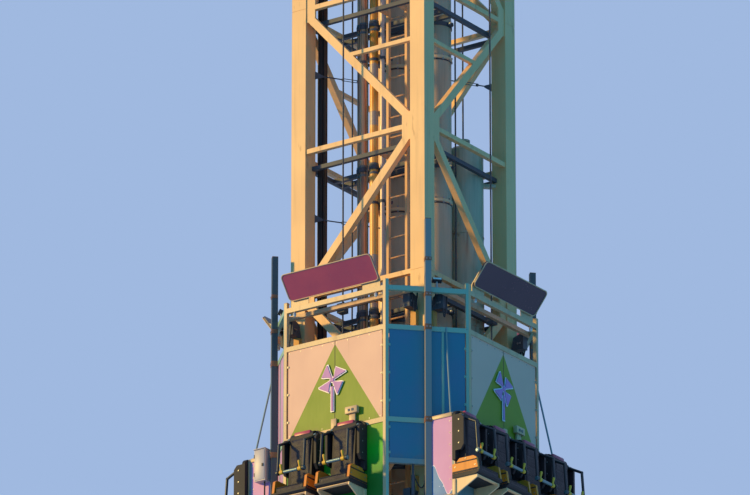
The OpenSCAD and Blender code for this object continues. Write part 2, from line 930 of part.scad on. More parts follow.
// Two arms on the pivot pins, a cross tube over the lap and its end knobs
module lap_bar(i, k) {
    knee_out = lap_out - 30;
    knee_drop = pivot_drop + 130;
    color("dimgray")
        on_side(i)
            translate([seats_of(i)[k], -wall_of(i), seat_rail_z])
                union() {
                    for (s = [-1, 1]) {
                        difference() {
                            union() {
                                translate([s * arm_x, -pivot_out, -pivot_drop])
                                    rotate([0, 90, 0])
                                        cylinder(h = hub_w, r = hub_r, center = true);
                                arm_bar([s * arm_x, -pivot_out, -pivot_drop],
                                    [s * arm_x, -knee_out, -knee_drop]);
                                arm_bar([s * arm_x, -knee_out, -knee_drop],
                                    [s * arm_x, -lap_out, -lap_drop]);
                                translate([s * arm_x, -knee_out, -knee_drop])
                                    sphere(d = arm_d + 4, $fn = 24);
                            }
                            translate([s * arm_x, -pivot_out, -pivot_drop])
                                rotate([0, 90, 0])
                                    cylinder(h = 2 * hub_w, r = pin_r + fit_gap, center = true);
                        }
                        translate([s * arm_x, -lap_out, -lap_drop])
                            rotate([0, 90, 0])
                                cylinder(h = 30, r = 36, center = true);
                    }
                    translate([0, -lap_out, -lap_drop])
                        rotate([0, 90, 0])
                            cylinder(h = 2 * arm_x, d = arm_d, center = true);
                }
}

module arm_bar(a, b) {
    d = b - a;
    len = norm(d);
    translate(a)
        rotate([0, acos(d[2] / len), atan2(d[1], d[0])])
            cylinder(h = len, d = arm_d);
}

/* Sign boards and small pieces */

// Placed at the lower edge of the board's back, leaning outward
module on_sign(i) {
    on_side(i)
        translate([0, -sign_out, guard_z + ring_h + sign_rise])
            rotate([sign_lean, 0, 0])
                children();
}

module sign_boards() {
    r = 60;
    color("maroon")
        for (i = [0:3])
            on_sign(i)
                rotate([90, 0, 0])
                    linear_extrude(sign_t)
                        union() {
                            translate([-sign_w / 2 + r, 0])
                                square([sign_w - 2 * r, sign_h]);
                            translate([-sign_w / 2, r])
                                square([sign_w, sign_h - 2 * r]);
                            for (x = [-1, 1], y = [r, sign_h - r])
                                translate([x * (sign_w / 2 - r), y])
                                    circle(r = r);
                        }
}

// A wide plate on the guard rail near each end, bent to lie along the board's back
module sign_brackets() {
    hold = 200;
    plate_w = 300;
    plate_t = 12;
    back_y = -sign_out + plate_t * cos(sign_lean);
    back_z = sign_rise + plate_t * sin(sign_lean);
    color("bisque")
        for (i = [0:3], s = [-1, 1])
            on_side(i)
                translate([s * (sign_w - plate_w) / 2, 0, guard_z + ring_h])
                    rotate([90, 0, 90])
                        linear_extrude(plate_w, center = true)
                            polygon([[-sign_out, 0], [-sign_out + plate_t, 0],
                                [-sign_out + plate_t, sign_rise + plate_t * tan(sign_lean / 2)],
                                [back_y - hold * sin(sign_lean), back_z + hold * cos(sign_lean)],
                                [-sign_out - hold * sin(sign_lean), sign_rise + hold * cos(sign_lean)],
                                [-sign_out, sign_rise]]);
}

// A control cabinet on the end wall of each wide bank, beside the mast
module control_boxes() {
    color("lightgray")
        for (i = [1, 3])
            on_side(i)
                translate([bank_half, -box_out - box_w, seat_rail_z - box_drop])
                    cube([box_t, box_w, box_h]);
}

module lap_bar_front_1() { lap_bar(0, 0); }
module lap_bar_front_2() { lap_bar(0, 1); }
module lap_bar_right_1() { lap_bar(1, 0); }
module lap_bar_right_2() { lap_bar(1, 1); }
module lap_bar_right_3() { lap_bar(1, 2); }
module lap_bar_right_4() { lap_bar(1, 3); }
module lap_bar_back_1() { lap_bar(2, 0); }
module lap_bar_back_2() { lap_bar(2, 1); }
module lap_bar_left_1() { lap_bar(3, 0); }
module lap_bar_left_2() { lap_bar(3, 1); }
module lap_bar_left_3() { lap_bar(3, 2); }
module lap_bar_left_4() { lap_bar(3, 3); }

ground_frame();
base_plates();
column(-1, -1);  // column_front_left
column(1, -1);  // column_front_right
column(1, 1);  // column_back_right
column(-1, 1);  // column_back_left
lattice_front();
lattice_right();
lattice_back();
lattice_left();
inner_ties();
tube_supports();
thrust_tubes();
air_receiver();
service_pipes();
cable_tray();
ladder();
hoist_cables();
cable_sheaves();
sheave_brackets();
head_frame();
corner_posts();
guard_ring();
panel_ring();
seat_ring();
middle_ring();
bottom_ring();
guide_beams();
guide_housings();
guide_pads();
cable_clamps();
masts();
side_panels();
corner_panels();
narrow_bank_walls();
wide_bank_walls();
end_walls();
stay_rods();
seat_brackets();
seat_backs();
seat_pans();
seat_sides();
seat_cushions();
sign_boards();
sign_brackets();
control_boxes();
lap_bar_front_1();
lap_bar_front_2();
lap_bar_right_1();
lap_bar_right_2();
lap_bar_right_3();
lap_bar_right_4();
lap_bar_back_1();
lap_bar_back_2();
lap_bar_left_1();
lap_bar_left_2();
lap_bar_left_3();
lap_bar_left_4();
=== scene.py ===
"""Drop tower ride: the paint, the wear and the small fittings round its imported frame."""

import math
from functools import partial, reduce
from itertools import product

import bmesh
import bpy
from mathutils import Matrix, Vector


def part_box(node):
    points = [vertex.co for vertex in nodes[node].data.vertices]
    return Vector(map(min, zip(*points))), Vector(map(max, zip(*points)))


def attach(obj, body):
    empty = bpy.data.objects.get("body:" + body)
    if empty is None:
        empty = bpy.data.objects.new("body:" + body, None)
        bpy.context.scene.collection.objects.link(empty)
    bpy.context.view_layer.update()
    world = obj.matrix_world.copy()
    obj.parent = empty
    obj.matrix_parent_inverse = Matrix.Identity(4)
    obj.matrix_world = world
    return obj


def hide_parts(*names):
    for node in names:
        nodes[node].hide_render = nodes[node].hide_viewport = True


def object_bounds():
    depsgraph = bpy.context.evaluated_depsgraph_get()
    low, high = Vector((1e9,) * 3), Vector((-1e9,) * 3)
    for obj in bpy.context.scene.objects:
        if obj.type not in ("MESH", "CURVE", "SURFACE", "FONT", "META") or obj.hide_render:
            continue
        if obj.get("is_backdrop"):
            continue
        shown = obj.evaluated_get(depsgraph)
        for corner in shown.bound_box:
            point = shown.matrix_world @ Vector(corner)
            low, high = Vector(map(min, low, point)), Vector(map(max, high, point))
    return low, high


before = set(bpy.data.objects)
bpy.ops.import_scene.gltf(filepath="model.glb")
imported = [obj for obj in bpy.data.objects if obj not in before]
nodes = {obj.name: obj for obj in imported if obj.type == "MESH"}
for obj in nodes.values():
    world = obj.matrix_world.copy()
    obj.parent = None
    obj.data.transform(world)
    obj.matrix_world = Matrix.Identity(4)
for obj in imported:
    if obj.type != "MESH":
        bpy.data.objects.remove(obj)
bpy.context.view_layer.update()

# Viewpoint
# The photograph was taken from far below with a long lens, off the tower's front right corner.
# Its frame shows the carriage and the one and a half bays of the tower above it.
photo_w = 750
lens_px = 7000
px_per_m = 70.4
aim = Vector((-0.337, -0.236, 16.303))


def heading(turned, height):
    """The way to a point so many degrees round from the front and above the horizon."""
    turned, height = math.radians(turned), math.radians(height)
    return Vector((math.sin(turned) * math.cos(height), -math.cos(turned) * math.cos(height),
                   math.sin(height)))


def added(name, data):
    """A new object in the scene, round the data given."""
    made = bpy.data.objects.new(name, data)
    bpy.context.scene.collection.objects.link(made)
    return made


lens = bpy.data.cameras.new("camera")
lens.sensor_width = 36
lens.lens = lens.sensor_width * lens_px / photo_w
lens.clip_end = 600
camera = added("camera", lens)
toward = heading(35, -21)
camera.location = aim + toward * (lens_px / px_per_m)
camera.rotation_euler = (-toward).to_track_quat("-Z", "Y").to_euler()
bpy.context.scene.camera = camera
bpy.context.scene.view_settings.view_transform = "Standard"


# Floor and light
# A plain pale disc carries the tower's foot and fades out where the view from below passes it.
# One soft warm lamp stands low on the left, and a cool room fills the sides that it misses; on
# the faces that look at the lamp the two add up to white.
def tone(red, green, blue):
    """A linear colour from the 0 to 255 values that a screen shows."""
    return tuple(
        c / 12.92 if c <= 0.04045 else ((c + 0.055) / 1.055) ** 2.4
        for c in (red / 255, green / 255, blue / 255)
    ) + (1.0,)


class Value:
    """A node's socket, on which Python's operators add Math nodes."""

    def __init__(self, graph, socket):
        self.graph, self.socket = graph, socket

    def __add__(self, other):
        return self.graph.math("ADD", self, other)

    def __sub__(self, other):
        return self.graph.math("SUBTRACT", self, other)

    def __rsub__(self, other):
        return self.graph.math("SUBTRACT", other, self)

    def __mul__(self, other):
        return self.graph.math("MULTIPLY", self, other)

    def __abs__(self):
        return self.graph.math("ABSOLUTE", self)

    def __mod__(self, other):
        return self.graph.math("FLOORED_MODULO", self, other)

    __radd__ = __add__
    __rmul__ = __mul__

    def rises(self, low, high):
        """0 below low and 1 above high, smooth between them."""
        limits = {"Value": self, "From Min": low, "From Max": high}
        return self.graph.add("ShaderNodeMapRange", {"interpolation_type": "SMOOTHSTEP"}, limits)

    def falls(self, low, high):
        return 1 - self.rises(low, high)


class Graph:
    """A node tree, in which each call adds one node."""

    def __init__(self, tree):
        self.tree = tree

    def add(self, kind, settings=None, inputs=None, output=0):
        node = self.tree.nodes.new(kind)
        for name, setting in (settings or {}).items():
            setattr(node, name, setting)
        for name, value in (inputs or {}).items():
            if isinstance(value, Value):
                self.tree.links.new(value.socket, node.inputs[name])
            else:
                node.inputs[name].default_value = value
        return Value(self, node.outputs[output])

    def math(self, operation, *values):
        return self.add("ShaderNodeMath", {"operation": operation}, dict(enumerate(values)))

    def most(self, *values):
        return reduce(partial(self.math, "MAXIMUM"), values)

    def least(self, *values):
        return reduce(partial(self.math, "MINIMUM"), values)

    def mix(self, mask, under, over):
        """The colour under where the mask is 0, and the colour over where it is 1."""
        return self.add("ShaderNodeMix", {"data_type": "RGBA"}, {0: mask, 6: under, 7: over}, 2)


class Finish(Graph):
    """A material whose pattern lies in the object's own coordinates, in metres."""

    def __init__(self, name, roughness=0.5, metallic=0.0, coat=0.0):
        self.material = bpy.data.materials.new(name)
        self.material.use_nodes = True
        super().__init__(self.material.node_tree)
        self.shader = self.tree.nodes["Principled BSDF"]
        self.set("Roughness", roughness)
        self.set("Metallic", metallic)
        self.set("Coat Weight", coat)
        self.place = self.add("ShaderNodeTexCoord", output=3)
        split = self.add("ShaderNodeSeparateXYZ", inputs={"Vector": self.place}).socket.node
        self.x, self.y, self.z = (Value(self, s) for s in split.outputs)

    def set(self, name, value):
        if isinstance(value, Value):
            self.tree.links.new(value.socket, self.shader.inputs[name])
        else:
            self.shader.inputs[name].default_value = value

    def noise(self, scale, stretch=(1, 1, 1), detail=3.0):
        sized = tuple(scale * s for s in stretch)
        spot = self.add("ShaderNodeMapping", None, {"Vector": self.place, "Scale": sized})
        return self.add("ShaderNodeTexNoise", None,
                        {"Vector": spot, "Scale": 1.0, "Detail": detail, "Roughness": 0.55})

    def relief(self, height, depth, strength=1.0):
        self.set("Normal", self.add("ShaderNodeBump", None,
                                    {"Height": height, "Distance": depth, "Strength": strength}))


floor_r = 34.0
fade_from = 12.0
bpy.ops.mesh.primitive_circle_add(vertices=96, radius=floor_r, fill_type="NGON")
floor = bpy.context.object
floor.name = "floor"
floor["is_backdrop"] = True
pale = Finish("pale_floor", roughness=0.9)
pale.set("Base Color", tone(226, 230, 238))
pale.set("Specular IOR Level", 0.1)
far = pale.math("SQRT", pale.x * pale.x + pale.y * pale.y).rises(fade_from, floor_r - 1)
faded = pale.add("ShaderNodeMixShader", None, {
    0: far, 1: Value(pale, pale.shader.outputs[0]), 2: pale.add("ShaderNodeBsdfTransparent")})
pale.tree.links.new(faded.socket, pale.tree.nodes["Material Output"].inputs["Surface"])
floor.data.materials.append(pale.material)

world = bpy.data.worlds.new("room")
world.use_nodes = True
bpy.context.scene.world = world
room = Graph(world.node_tree)
backdrop = tone(160, 185, 224)
fill_light = (0.03, 0.31, 0.70, 1.0)
ray = world.node_tree.nodes.new("ShaderNodeLightPath")
seen = room.most(*(Value(room, ray.outputs[name]) for name in (
    "Is Camera Ray", "Is Glossy Ray", "Is Transmission Ray")))
shade = room.mix(seen, fill_light, backdrop)
world.node_tree.links.new(shade.socket, world.node_tree.nodes["Background"].inputs["Color"])

lamp = bpy.data.lights.new("key", "SUN")
lamp.energy = 3.7
lamp.color = (1.0, 0.68, 0.19)
lamp.angle = math.radians(5)
from_lamp = -heading(-45, 17)
added("key", lamp).rotation_euler = from_lamp.to_track_quat("-Z", "Y").to_euler()


# Tower steelwork
# The columns are welded box sections with a lattice of square bars welded between them, all in
# cream paint that has been out for years: rain has run down it, and rust starts at the welds.
bay_h = 4.4
bays = 6
half_bay = bay_h / 2
column_mid = 1.0275


def darker(paint, share):
    return tuple(share * c for c in paint[:3]) + (1,)


def weathered(name, paint, dirt, rust, roughness=0.5, metallic=0.0, streaks=0.5, spots=0.5):
    """Old paint: uneven, streaked by rain, with small rust spots and a fine orange peel."""
    f = Finish(name, roughness, metallic)
    cloudy = f.noise(1.3, detail=4)
    runs = f.noise(9.0, (1, 1, 0.05), 4).rises(0.5, 0.78) * streaks
    fine_runs = f.noise(38.0, (1, 1, 0.03), 2).rises(0.55, 0.8) * (0.6 * streaks)
    patches = f.noise(2.2, detail=5).rises(0.6, 0.75)
    specks = f.noise(26.0, detail=2).rises(0.68, 0.74) * patches * spots
    base = f.mix(cloudy.rises(0.3, 0.7) * 0.35, paint, darker(paint, 0.86))
    soiled = f.mix(f.most(runs, fine_runs), base, dirt)
    f.colour = f.mix(specks, soiled, rust)
    f.set("Base Color", f.colour)
    f.set("Roughness", roughness + 0.18 * (cloudy - 0.5) + 0.25 * specks + 0.1 * runs)
    f.relief(f.noise(55.0, detail=2) + 2.5 * specks, 0.0008)
    return f


def dress(paint, *names):
    """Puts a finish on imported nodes."""
    for name in names:
        nodes[name].data.materials.clear()
        nodes[name].data.materials.append(paint.material)


cream = weathered("cream_paint", tone(250, 190, 124), tone(184, 144, 100), tone(132, 74, 36),
                  streaks=0.36, spots=0.7)
level = cream.z % half_bay
near_weld = cream.most(level.falls(0.1, 0.34), level.rises(half_bay - 0.34, half_bay - 0.1))
stain = near_weld * cream.noise(13.0, (1, 1, 0.25), 4).rises(0.56, 0.72)
cream.set("Base Color", cream.mix(stain * 0.55, cream.colour, tone(158, 104, 62)))
corners = ("front_left", "front_right", "back_right", "back_left")
sides = ("front", "right", "back", "left")
dress(cream, "head_frame", *("column_" + c for c in corners), *("lattice_" + s for s in sides))

# Base
# Each column stands on a thick plate, drilled for four anchor bolts that are cast into the ground.
# Broad beams tie the plates together. All of it is dark painted steel, dusty near the ground.
both = (-1, 1)


class Stock:
    """Closed solids, gathered into one mesh."""

    def __init__(self):
        self.bm = bmesh.new()

    def block(self, start, end, place=Matrix()):
        """A box between two opposite corners."""
        start, end = Vector(start), Vector(end)
        size = Matrix.Diagonal((*map(abs, end - start), 1))
        made = bmesh.ops.create_cube(self.bm, size=1)["verts"]
        bmesh.ops.transform(self.bm, matrix=place @ Matrix.Translation((start + end) / 2) @ size,
                            verts=made)

    def prism(self, outline, height, place=Matrix()):
        """An outline of (x, y) points, pulled up along z by height."""
        low, high = ([self.bm.verts.new(place @ Vector((*p, z))) for p in outline]
                     for z in (0, height))
        self.bm.faces.new(reversed(low))
        self.bm.faces.new(high)
        for k in range(len(outline)):
            self.bm.faces.new((low[k - 1], low[k], high[k], high[k - 1]))

    def spin(self, profile, place=Matrix(), sides=24):
        """A profile of (radius, height) points, turned round the z axis; a radius of 0 is a pole."""
        rings = []
        for r, z in profile:
            turns = [2 * math.pi * k / sides for k in range(sides if r else 1)]
            rings.append([self.bm.verts.new(place @ Vector((r * math.cos(t), r * math.sin(t), z)))
                          for t in turns])
        for under, over in zip(rings, rings[1:]):
            for k in range(sides):
                around = ((under, k - 1), (under, k), (over, k), (over, k - 1))
                self.bm.faces.new(list(dict.fromkeys(ring[n % len(ring)] for ring, n in around)))
        for ring in (rings[0], rings[-1]):
            if len(ring) > 1:
                self.bm.faces.new(ring)

    def ring(self, inner, outer, half, place):
        """A band of this half height round the z axis, closed on its inner side too."""
        self.spin([(inner, -half), (outer, -half), (outer, half), (inner, half)], place)

    def rod(self, start, end, r, sides=12):
        start, end = Vector(start), Vector(end)
        along = (end - start).to_track_quat("Z", "Y").to_matrix().to_4x4()
        self.spin([(r, 0), (r, (end - start).length)], Matrix.Translation(start) @ along, sides)

    def tube(self, path, r, sides=8, closed=False):
        """A round section led along a path, with its ends closed."""
        path = [Vector(p) for p in path]
        rings, side = [], None
        for k, p in enumerate(path):
            before = path[k - 1] if k or closed else p
            after = path[(k + 1) % len(path)] if k + 1 < len(path) or closed else p
            ahead = (after - before).normalized()
            side = side or ahead.orthogonal()
            side = (side - ahead * side.dot(ahead)).normalized()
            other = ahead.cross(side)
            turns = (2 * math.pi * n / sides for n in range(sides))
            rings.append([self.bm.verts.new(p + (side * math.cos(t) + other * math.sin(t)) * r)
                          for t in turns])
        for under, over in zip(rings, rings[1:] + rings[:1] if closed else rings[1:]):
            for k in range(sides):
                self.bm.faces.new((under[k - 1], under[k], over[k], over[k - 1]))
        if not closed:
            self.bm.faces.new(reversed(rings[0]))
            self.bm.faces.new(rings[-1])

    def mesh(self, name):
        mesh = bpy.data.meshes.new(name)
        self.bm.to_mesh(mesh)
        self.bm.free()
        return mesh

    def piece(self, name, body, paint, bevel=0.0, smooth=40):
        """The finished object: normals outward, edges eased, and riding on its body."""
        bmesh.ops.recalc_face_normals(self.bm, faces=self.bm.faces)
        made = added(name, self.mesh(name))
        if bevel:
            eased = made.modifiers.new("eased", "BEVEL")
            eased.width, eased.segments, eased.limit_method = bevel, 2, "ANGLE"
            eased.angle_limit = math.radians(50)
        settle(made, smooth)
        fit_out(made, body, paint)


def settle(made, smooth=40):
    """Turns an object's modifiers into plain mesh, and shades its shallow edges smooth."""
    if made.modifiers:
        dressed = made.evaluated_get(bpy.context.evaluated_depsgraph_get())
        plain = bpy.data.meshes.new_from_object(dressed)
        made.modifiers.clear()
        old, made.data = made.data, plain
        bpy.data.meshes.remove(old)
    made.data.materials.clear()
    made.data.shade_smooth()
    made.data.set_sharp_from_angle(angle=math.radians(smooth))


def fit_out(made, body, paint):
    """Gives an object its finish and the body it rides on."""
    made.data.materials.append(paint.material)
    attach(made, body)


def fastener_tree():
    """A tree that stands a washer and a head of so many sides on each point, along its facing."""
    tree = bpy.data.node_groups.new("fasteners", "GeometryNodeTree")
    tree.interface.new_socket("Geometry", in_out="INPUT", socket_type="NodeSocketGeometry")
    for name, kind in (("Head radius", "Float"), ("Head height", "Float"), ("Sides", "Int")):
        tree.interface.new_socket(name, in_out="INPUT", socket_type="NodeSocket" + kind)
    tree.interface.new_socket("Geometry", in_out="OUTPUT", socket_type="NodeSocketGeometry")
    g = Graph(tree)
    entry = g.add("NodeGroupInput").socket.node
    points, radius, height, sides = (Value(g, s) for s in entry.outputs[:4])
    head = g.add("GeometryNodeMeshCone", None, {
        "Vertices": sides, "Radius Top": radius * 0.82, "Radius Bottom": radius, "Depth": height})
    washer = g.add("GeometryNodeMeshCylinder", None, {
        "Vertices": 12, "Radius": radius * 1.35, "Depth": height * 0.5})
    join = tree.nodes.new("GeometryNodeJoinGeometry")
    for part in (washer, head):
        tree.links.new(part.socket, join.inputs[0])
    facing = tree.nodes.new("GeometryNodeInputNamedAttribute")
    facing.data_type = "FLOAT_VECTOR"
    facing.inputs["Name"].default_value = "facing"
    turned_to = g.add("FunctionNodeAlignRotationToVector", {"axis": "Z"}, {
        "Vector": Value(g, next(s for s in facing.outputs if s.enabled))})
    placed = g.add("GeometryNodeInstanceOnPoints", None, {
        "Points": points, "Instance": Value(g, join.outputs[0]), "Rotation": turned_to})
    real = g.add("GeometryNodeRealizeInstances", None, {"Geometry": placed})
    leave = tree.nodes.new("NodeGroupOutput")
    tree.links.new(real.socket, leave.inputs[0])
    return tree


fasteners = fastener_tree()
zinc = weathered("bare_bolts", tone(150, 150, 148), tone(112, 100, 88), tone(120, 70, 42),
                 roughness=0.42, metallic=0.75, streaks=0.2, spots=0.7)


def fasten(name, body, spots, radius, height, sides=6):
    """Zinc nuts or screw heads on spots, which are pairs of a point and the way it faces."""
    mesh = bpy.data.meshes.new(name)
    mesh.from_pydata([tuple(p) for p, _ in spots], [], [])
    facing = mesh.attributes.new("facing", "FLOAT_VECTOR", "POINT")
    facing.data.foreach_set("vector", [c for _, way in spots for c in way])
    made = added(name, mesh)
    grown = made.modifiers.new("fasteners", "NODES")
    grown.node_group = fasteners
    inputs = {s.name: s.identifier for s in fasteners.interface.items_tree if s.in_out == "INPUT"}
    grown[inputs["Head radius"]] = radius
    grown[inputs["Head height"]] = height
    grown[inputs["Sides"]] = sides
    settle(made, 30)
    fit_out(made, body, zinc)


iron = weathered("dark_steel", tone(74, 78, 84), tone(118, 104, 88), tone(104, 58, 34),
                 roughness=0.62, metallic=0.25, streaks=0.35, spots=0.8)
dust = iron.z.falls(0.0, 0.5) * iron.noise(5.0, detail=4).rises(0.35, 0.7)
iron.set("Base Color", iron.mix(dust * 0.6, iron.colour, tone(150, 138, 122)))
dress(iron, "ground_frame", "base_plates", "sheave_brackets", "guide_housings", "cable_clamps")

plate_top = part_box("base_plates")[1].z
anchor_half = 0.22
anchor_r = 0.0145
washer_t = 0.012
bolt_in, bolt_out = 0.03, 0.075
anchors = Stock()
nuts = []
for x, y, u, v in product(both, repeat=4):
    foot = Vector((x * column_mid + u * anchor_half, y * column_mid + v * anchor_half,
                   plate_top + washer_t))
    anchors.rod(foot - Vector((0, 0, bolt_in)), foot + Vector((0, 0, bolt_out)), anchor_r, sides=16)
    nuts.append((foot, (0, 0, 1)))
anchors.piece("anchor_bolts", "tower", zinc)
fasten("anchor_nuts", "tower", nuts, radius=0.028, height=0.048)

# Thrust tubes and their clamps
# Two long steel tubes of the air drive run up inside the tower, in grey-green paint, with a pale
# band over each joint and a dark line under each band as painted shadow. At each level a dark
# beam carries their split clamp rings, whose ears are drawn together by bolts.
tube_low, tube_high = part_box("thrust_tubes")
tube_flange = 0.028
tube_r = (tube_high.y - tube_low.y) / 2 - tube_flange
tube_y = (tube_high.y + tube_low.y) / 2
tube_xs = (tube_high.x - tube_flange - tube_r, tube_low.x + tube_flange + tube_r)
levels = [half_bay * k for k in range(1, 2 * bays)]
drop_to_clamp = 0.21
band_drop = 0.75
band_h = 0.05

drive = weathered("tube_paint", tone(204, 170, 132), tone(128, 116, 96), tone(140, 76, 34),
                  roughness=0.46, spots=0.8)
ring_stain = (drive.z % half_bay).rises(1.3, 1.45) * (drive.z % half_bay).falls(1.46, 1.9)
drips = ring_stain * drive.noise(16.0, (1, 1, 0.06), 4).rises(0.5, 0.75)
stained = drive.mix(drips * 0.7, drive.colour, tone(146, 88, 44))
up = drive.z % half_bay - (half_bay - band_drop)
joint = up.rises(-0.002, 0.0) * up.falls(band_h, band_h + 0.002)
# A dark line just under each pale band is a painted shadow cast by the band.
band_shadow_line = up.rises(-0.03, -0.026) * up.falls(-0.004, -0.002)
banded = drive.mix(joint, stained, tone(232, 190, 140))
drive.set("Base Color", drive.mix(band_shadow_line, banded, tone(44, 42, 44)))
dress(drive, "thrust_tubes")
dress(iron, "tube_supports", "inner_ties")


def shift(x, y, z):
    return Matrix.Translation((x, y, z))


def turn(axis, degrees):
    return Matrix.Rotation(math.radians(degrees), 4, axis)


ear_root, ear_tip, ear_t, ear_h = 0.035, 0.03, 0.016, 0.06
ear_apart = 0.02
clamps = Stock()
clamp_bolts = []
for z, x, s, e in product(levels, tube_xs, both, both):
    ear = Vector((x + s * (tube_r + ear_root), tube_y + e * ear_apart, z - drop_to_clamp))
    clamps.block(ear - Vector((ear_root, ear_t / 2, ear_h / 2)),
                 ear + Vector((ear_tip, ear_t / 2, ear_h / 2)))
    clamp_bolts.append((ear + Vector((ear_t / 2, e * 0.01, 0)), (0, e, 0)))
clamps.piece("clamp_ears", "tower", iron, bevel=0.003)
fasten("clamp_bolts", "tower", clamp_bolts, radius=0.016, height=0.02)

stud = Vector((0.011, 0.011, 0.011))
stud_ring_r = tube_r + 0.007
stud_row = 0.034
seams = Stock()
for x, z, s, k in product(tube_xs, levels, both, range(12)):
    joint_z = z - band_drop + band_h / 2
    seams.block(-stud, stud, shift(x, tube_y, joint_z + s * stud_row) @ turn("Z", 30 * k) @ shift(
        stud_ring_r, 0, 0))
seams.piece("tube_band_studs", "tower", zinc)

# Air receiver
# The pressure vessel is rolled plate with domed ends, welded in three courses. Its grey-green
# paint has broken through at the seams and below the nozzles, from where rust has run down.
vessel_low, vessel_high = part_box("air_receiver")
vessel_r = 0.275
vessel_x = vessel_y = vessel_low.x + vessel_r
course_h = 1.4
vessel = weathered("receiver_paint", tone(196, 176, 140), tone(120, 106, 86), tone(136, 70, 32),
                   streaks=0.45, spots=1.0)
course = (vessel.z - vessel_low.z) % course_h
weld = course_h / 2 - abs(course - course_h / 2)
eaten = weld.falls(0.0, 0.16) * vessel.noise(9.0, detail=5).rises(0.5, 0.66)
under = course.rises(0.8, course_h) * vessel.noise(14.0, (1, 1, 0.05), 4).rises(0.52, 0.74)
rusty = vessel.most(eaten, under * 0.8)
vessel.set("Base Color", vessel.mix(rusty, vessel.colour, vessel.mix(
    vessel.noise(30.0), tone(112, 58, 30), tone(168, 104, 56))))
dress(vessel, "air_receiver")

bead_r = 0.006
top_nozzle = [(0.05, 0), (0.05, 0.09), (0.085, 0.09), (0.085, 0.115), (0, 0.115)]
nozzle_z = vessel_low.z + 0.55
nozzle_reach = vessel_y - vessel_r - tube_y - tube_r * 0.8
fittings = Stock()
for z in (vessel_low.z + course_h, vessel_low.z + 2 * course_h):
    bead = [shift(vessel_x, vessel_y, z) @ turn("Z", 7.5 * k) @ Vector((vessel_r + 0.001, 0, 0))
            for k in range(48)]
    fittings.tube(bead, bead_r, sides=6, closed=True)
fittings.spin(top_nozzle, shift(vessel_x, vessel_y, vessel_high.z - 0.01), sides=20)
side_nozzle = shift(vessel_x, vessel_y - vessel_r + 0.01, nozzle_z) @ turn("X", 90)
fittings.spin([(0.06, 0), (0.06, nozzle_reach)], side_nozzle, sides=20)
fittings.spin([(0.1, 0.02), (0.1, 0.045)], side_nozzle, sides=20)
fittings.piece("receiver_fittings", "tower", vessel, smooth=50)

# Service pipes
# A yellow air main, a brown return and a thin line stand in clamps near the front face. The
# yellow one is gloss paint over bands of old primer, and grey rubber sleeves sit in the clamps.
# Beside them a zinc conduit stands on saddles, and black straps hold it and the mains between.
pipe_low, pipe_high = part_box("service_pipes")
pipes = {"yellow": (-0.17, 0.0625), "brown": (-0.35, 0.055), "thin": (-0.44, 0.018)}
pipe_y = (pipe_low.y + pipe_high.y) / 2
main = weathered("pipe_paint", tone(250, 176, 84), tone(150, 98, 52), tone(92, 60, 42),
                 roughness=0.32, streaks=0.45, spots=0.6)
is_yellow = main.x.rises(-0.27, -0.26)
worn_band = (main.z % 0.73).rises(0.5, 0.53) * main.noise(3.0, (1, 1, 0.4), 4).rises(0.46, 0.56)
orange = main.noise(1.1, (1, 1, 0.7), 2).rises(0.5, 0.53)
yellow_skin = main.mix(worn_band * 0.8, main.mix(orange, main.colour, tone(240, 150, 44)), tone(
    156, 150, 146))
fibres = main.noise(46.0, (1, 1, 0.02)).rises(0.42, 0.58)
brown_skin = main.mix(fibres, tone(212, 158, 112), tone(138, 96, 72))
main.set("Base Color", main.mix(is_yellow, brown_skin, yellow_skin))
dress(main, "service_pipes")

rubber = weathered("grey_rubber", tone(104, 108, 108), tone(80, 78, 74), tone(120, 112, 100),
                   roughness=0.8, streaks=0.3, spots=0.3)
sleeve_drops = (0.31, 0.175)
sleeves = Stock()
for z, (x, r), drop in product(levels, pipes.values(), sleeve_drops):
    sleeves.spin([(r + 0.001, 0), (r + 0.007, 0.004), (r + 0.007, 0.03), (r + 0.001, 0.034)],
                 shift(x, pipe_y, z - drop), sides=20)
sleeves.piece("pipe_sleeves", "tower", rubber, smooth=30)

conduit_x, conduit_r = -0.022, 0.034
pipe_beam_front = pipe_y + pipes["yellow"][1] + 0.024
saddle_up, saddle_half = 0.35, 0.05
strap_half = 0.02
strap_t = 0.006
bar_y = pipe_y + 0.1
galvanised = weathered("galvanised", tone(190, 172, 158), tone(150, 132, 112), tone(120, 84, 54),
                       roughness=0.4, metallic=0.35, streaks=0.35, spots=0.3)
conduit = Stock()
straps = Stock()
conduit.rod((conduit_x, pipe_y, pipe_low.z), (conduit_x, pipe_y, pipe_high.z), conduit_r, sides=24)
for z in levels:
    clamp_z, strap_z = z - drop_to_clamp, z - band_drop
    conduit.ring(conduit_r - 0.001, conduit_r + strap_t, saddle_half,
                 shift(conduit_x, pipe_y, z + saddle_up))
    straps.block((conduit_x - 0.022, pipe_y + conduit_r - 0.004, clamp_z - strap_half),
                 (conduit_x + 0.022, pipe_beam_front, clamp_z + strap_half))
    for x, r in ((conduit_x, conduit_r), pipes["yellow"], pipes["brown"]):
        straps.ring(r, r + strap_t, strap_half, shift(x, pipe_y, strap_z))
        straps.block((x - 0.014, pipe_y + r, strap_z - strap_half),
                     (x + 0.014, bar_y, strap_z + strap_half))
    straps.block((pipes["brown"][0] - 0.06, bar_y, strap_z - strap_half),
                 (conduit_x + 0.1, bar_y + 0.018, strap_z + strap_half))
    straps.block((tube_xs[1] - 0.012, bar_y + 0.017, strap_z - 0.018),
                 (tube_xs[1] + 0.012, tube_y - tube_r + 0.003, strap_z + 0.018))
conduit.piece("conduit", "tower", galvanised)
straps.piece("pipe_straps", "tower", iron)

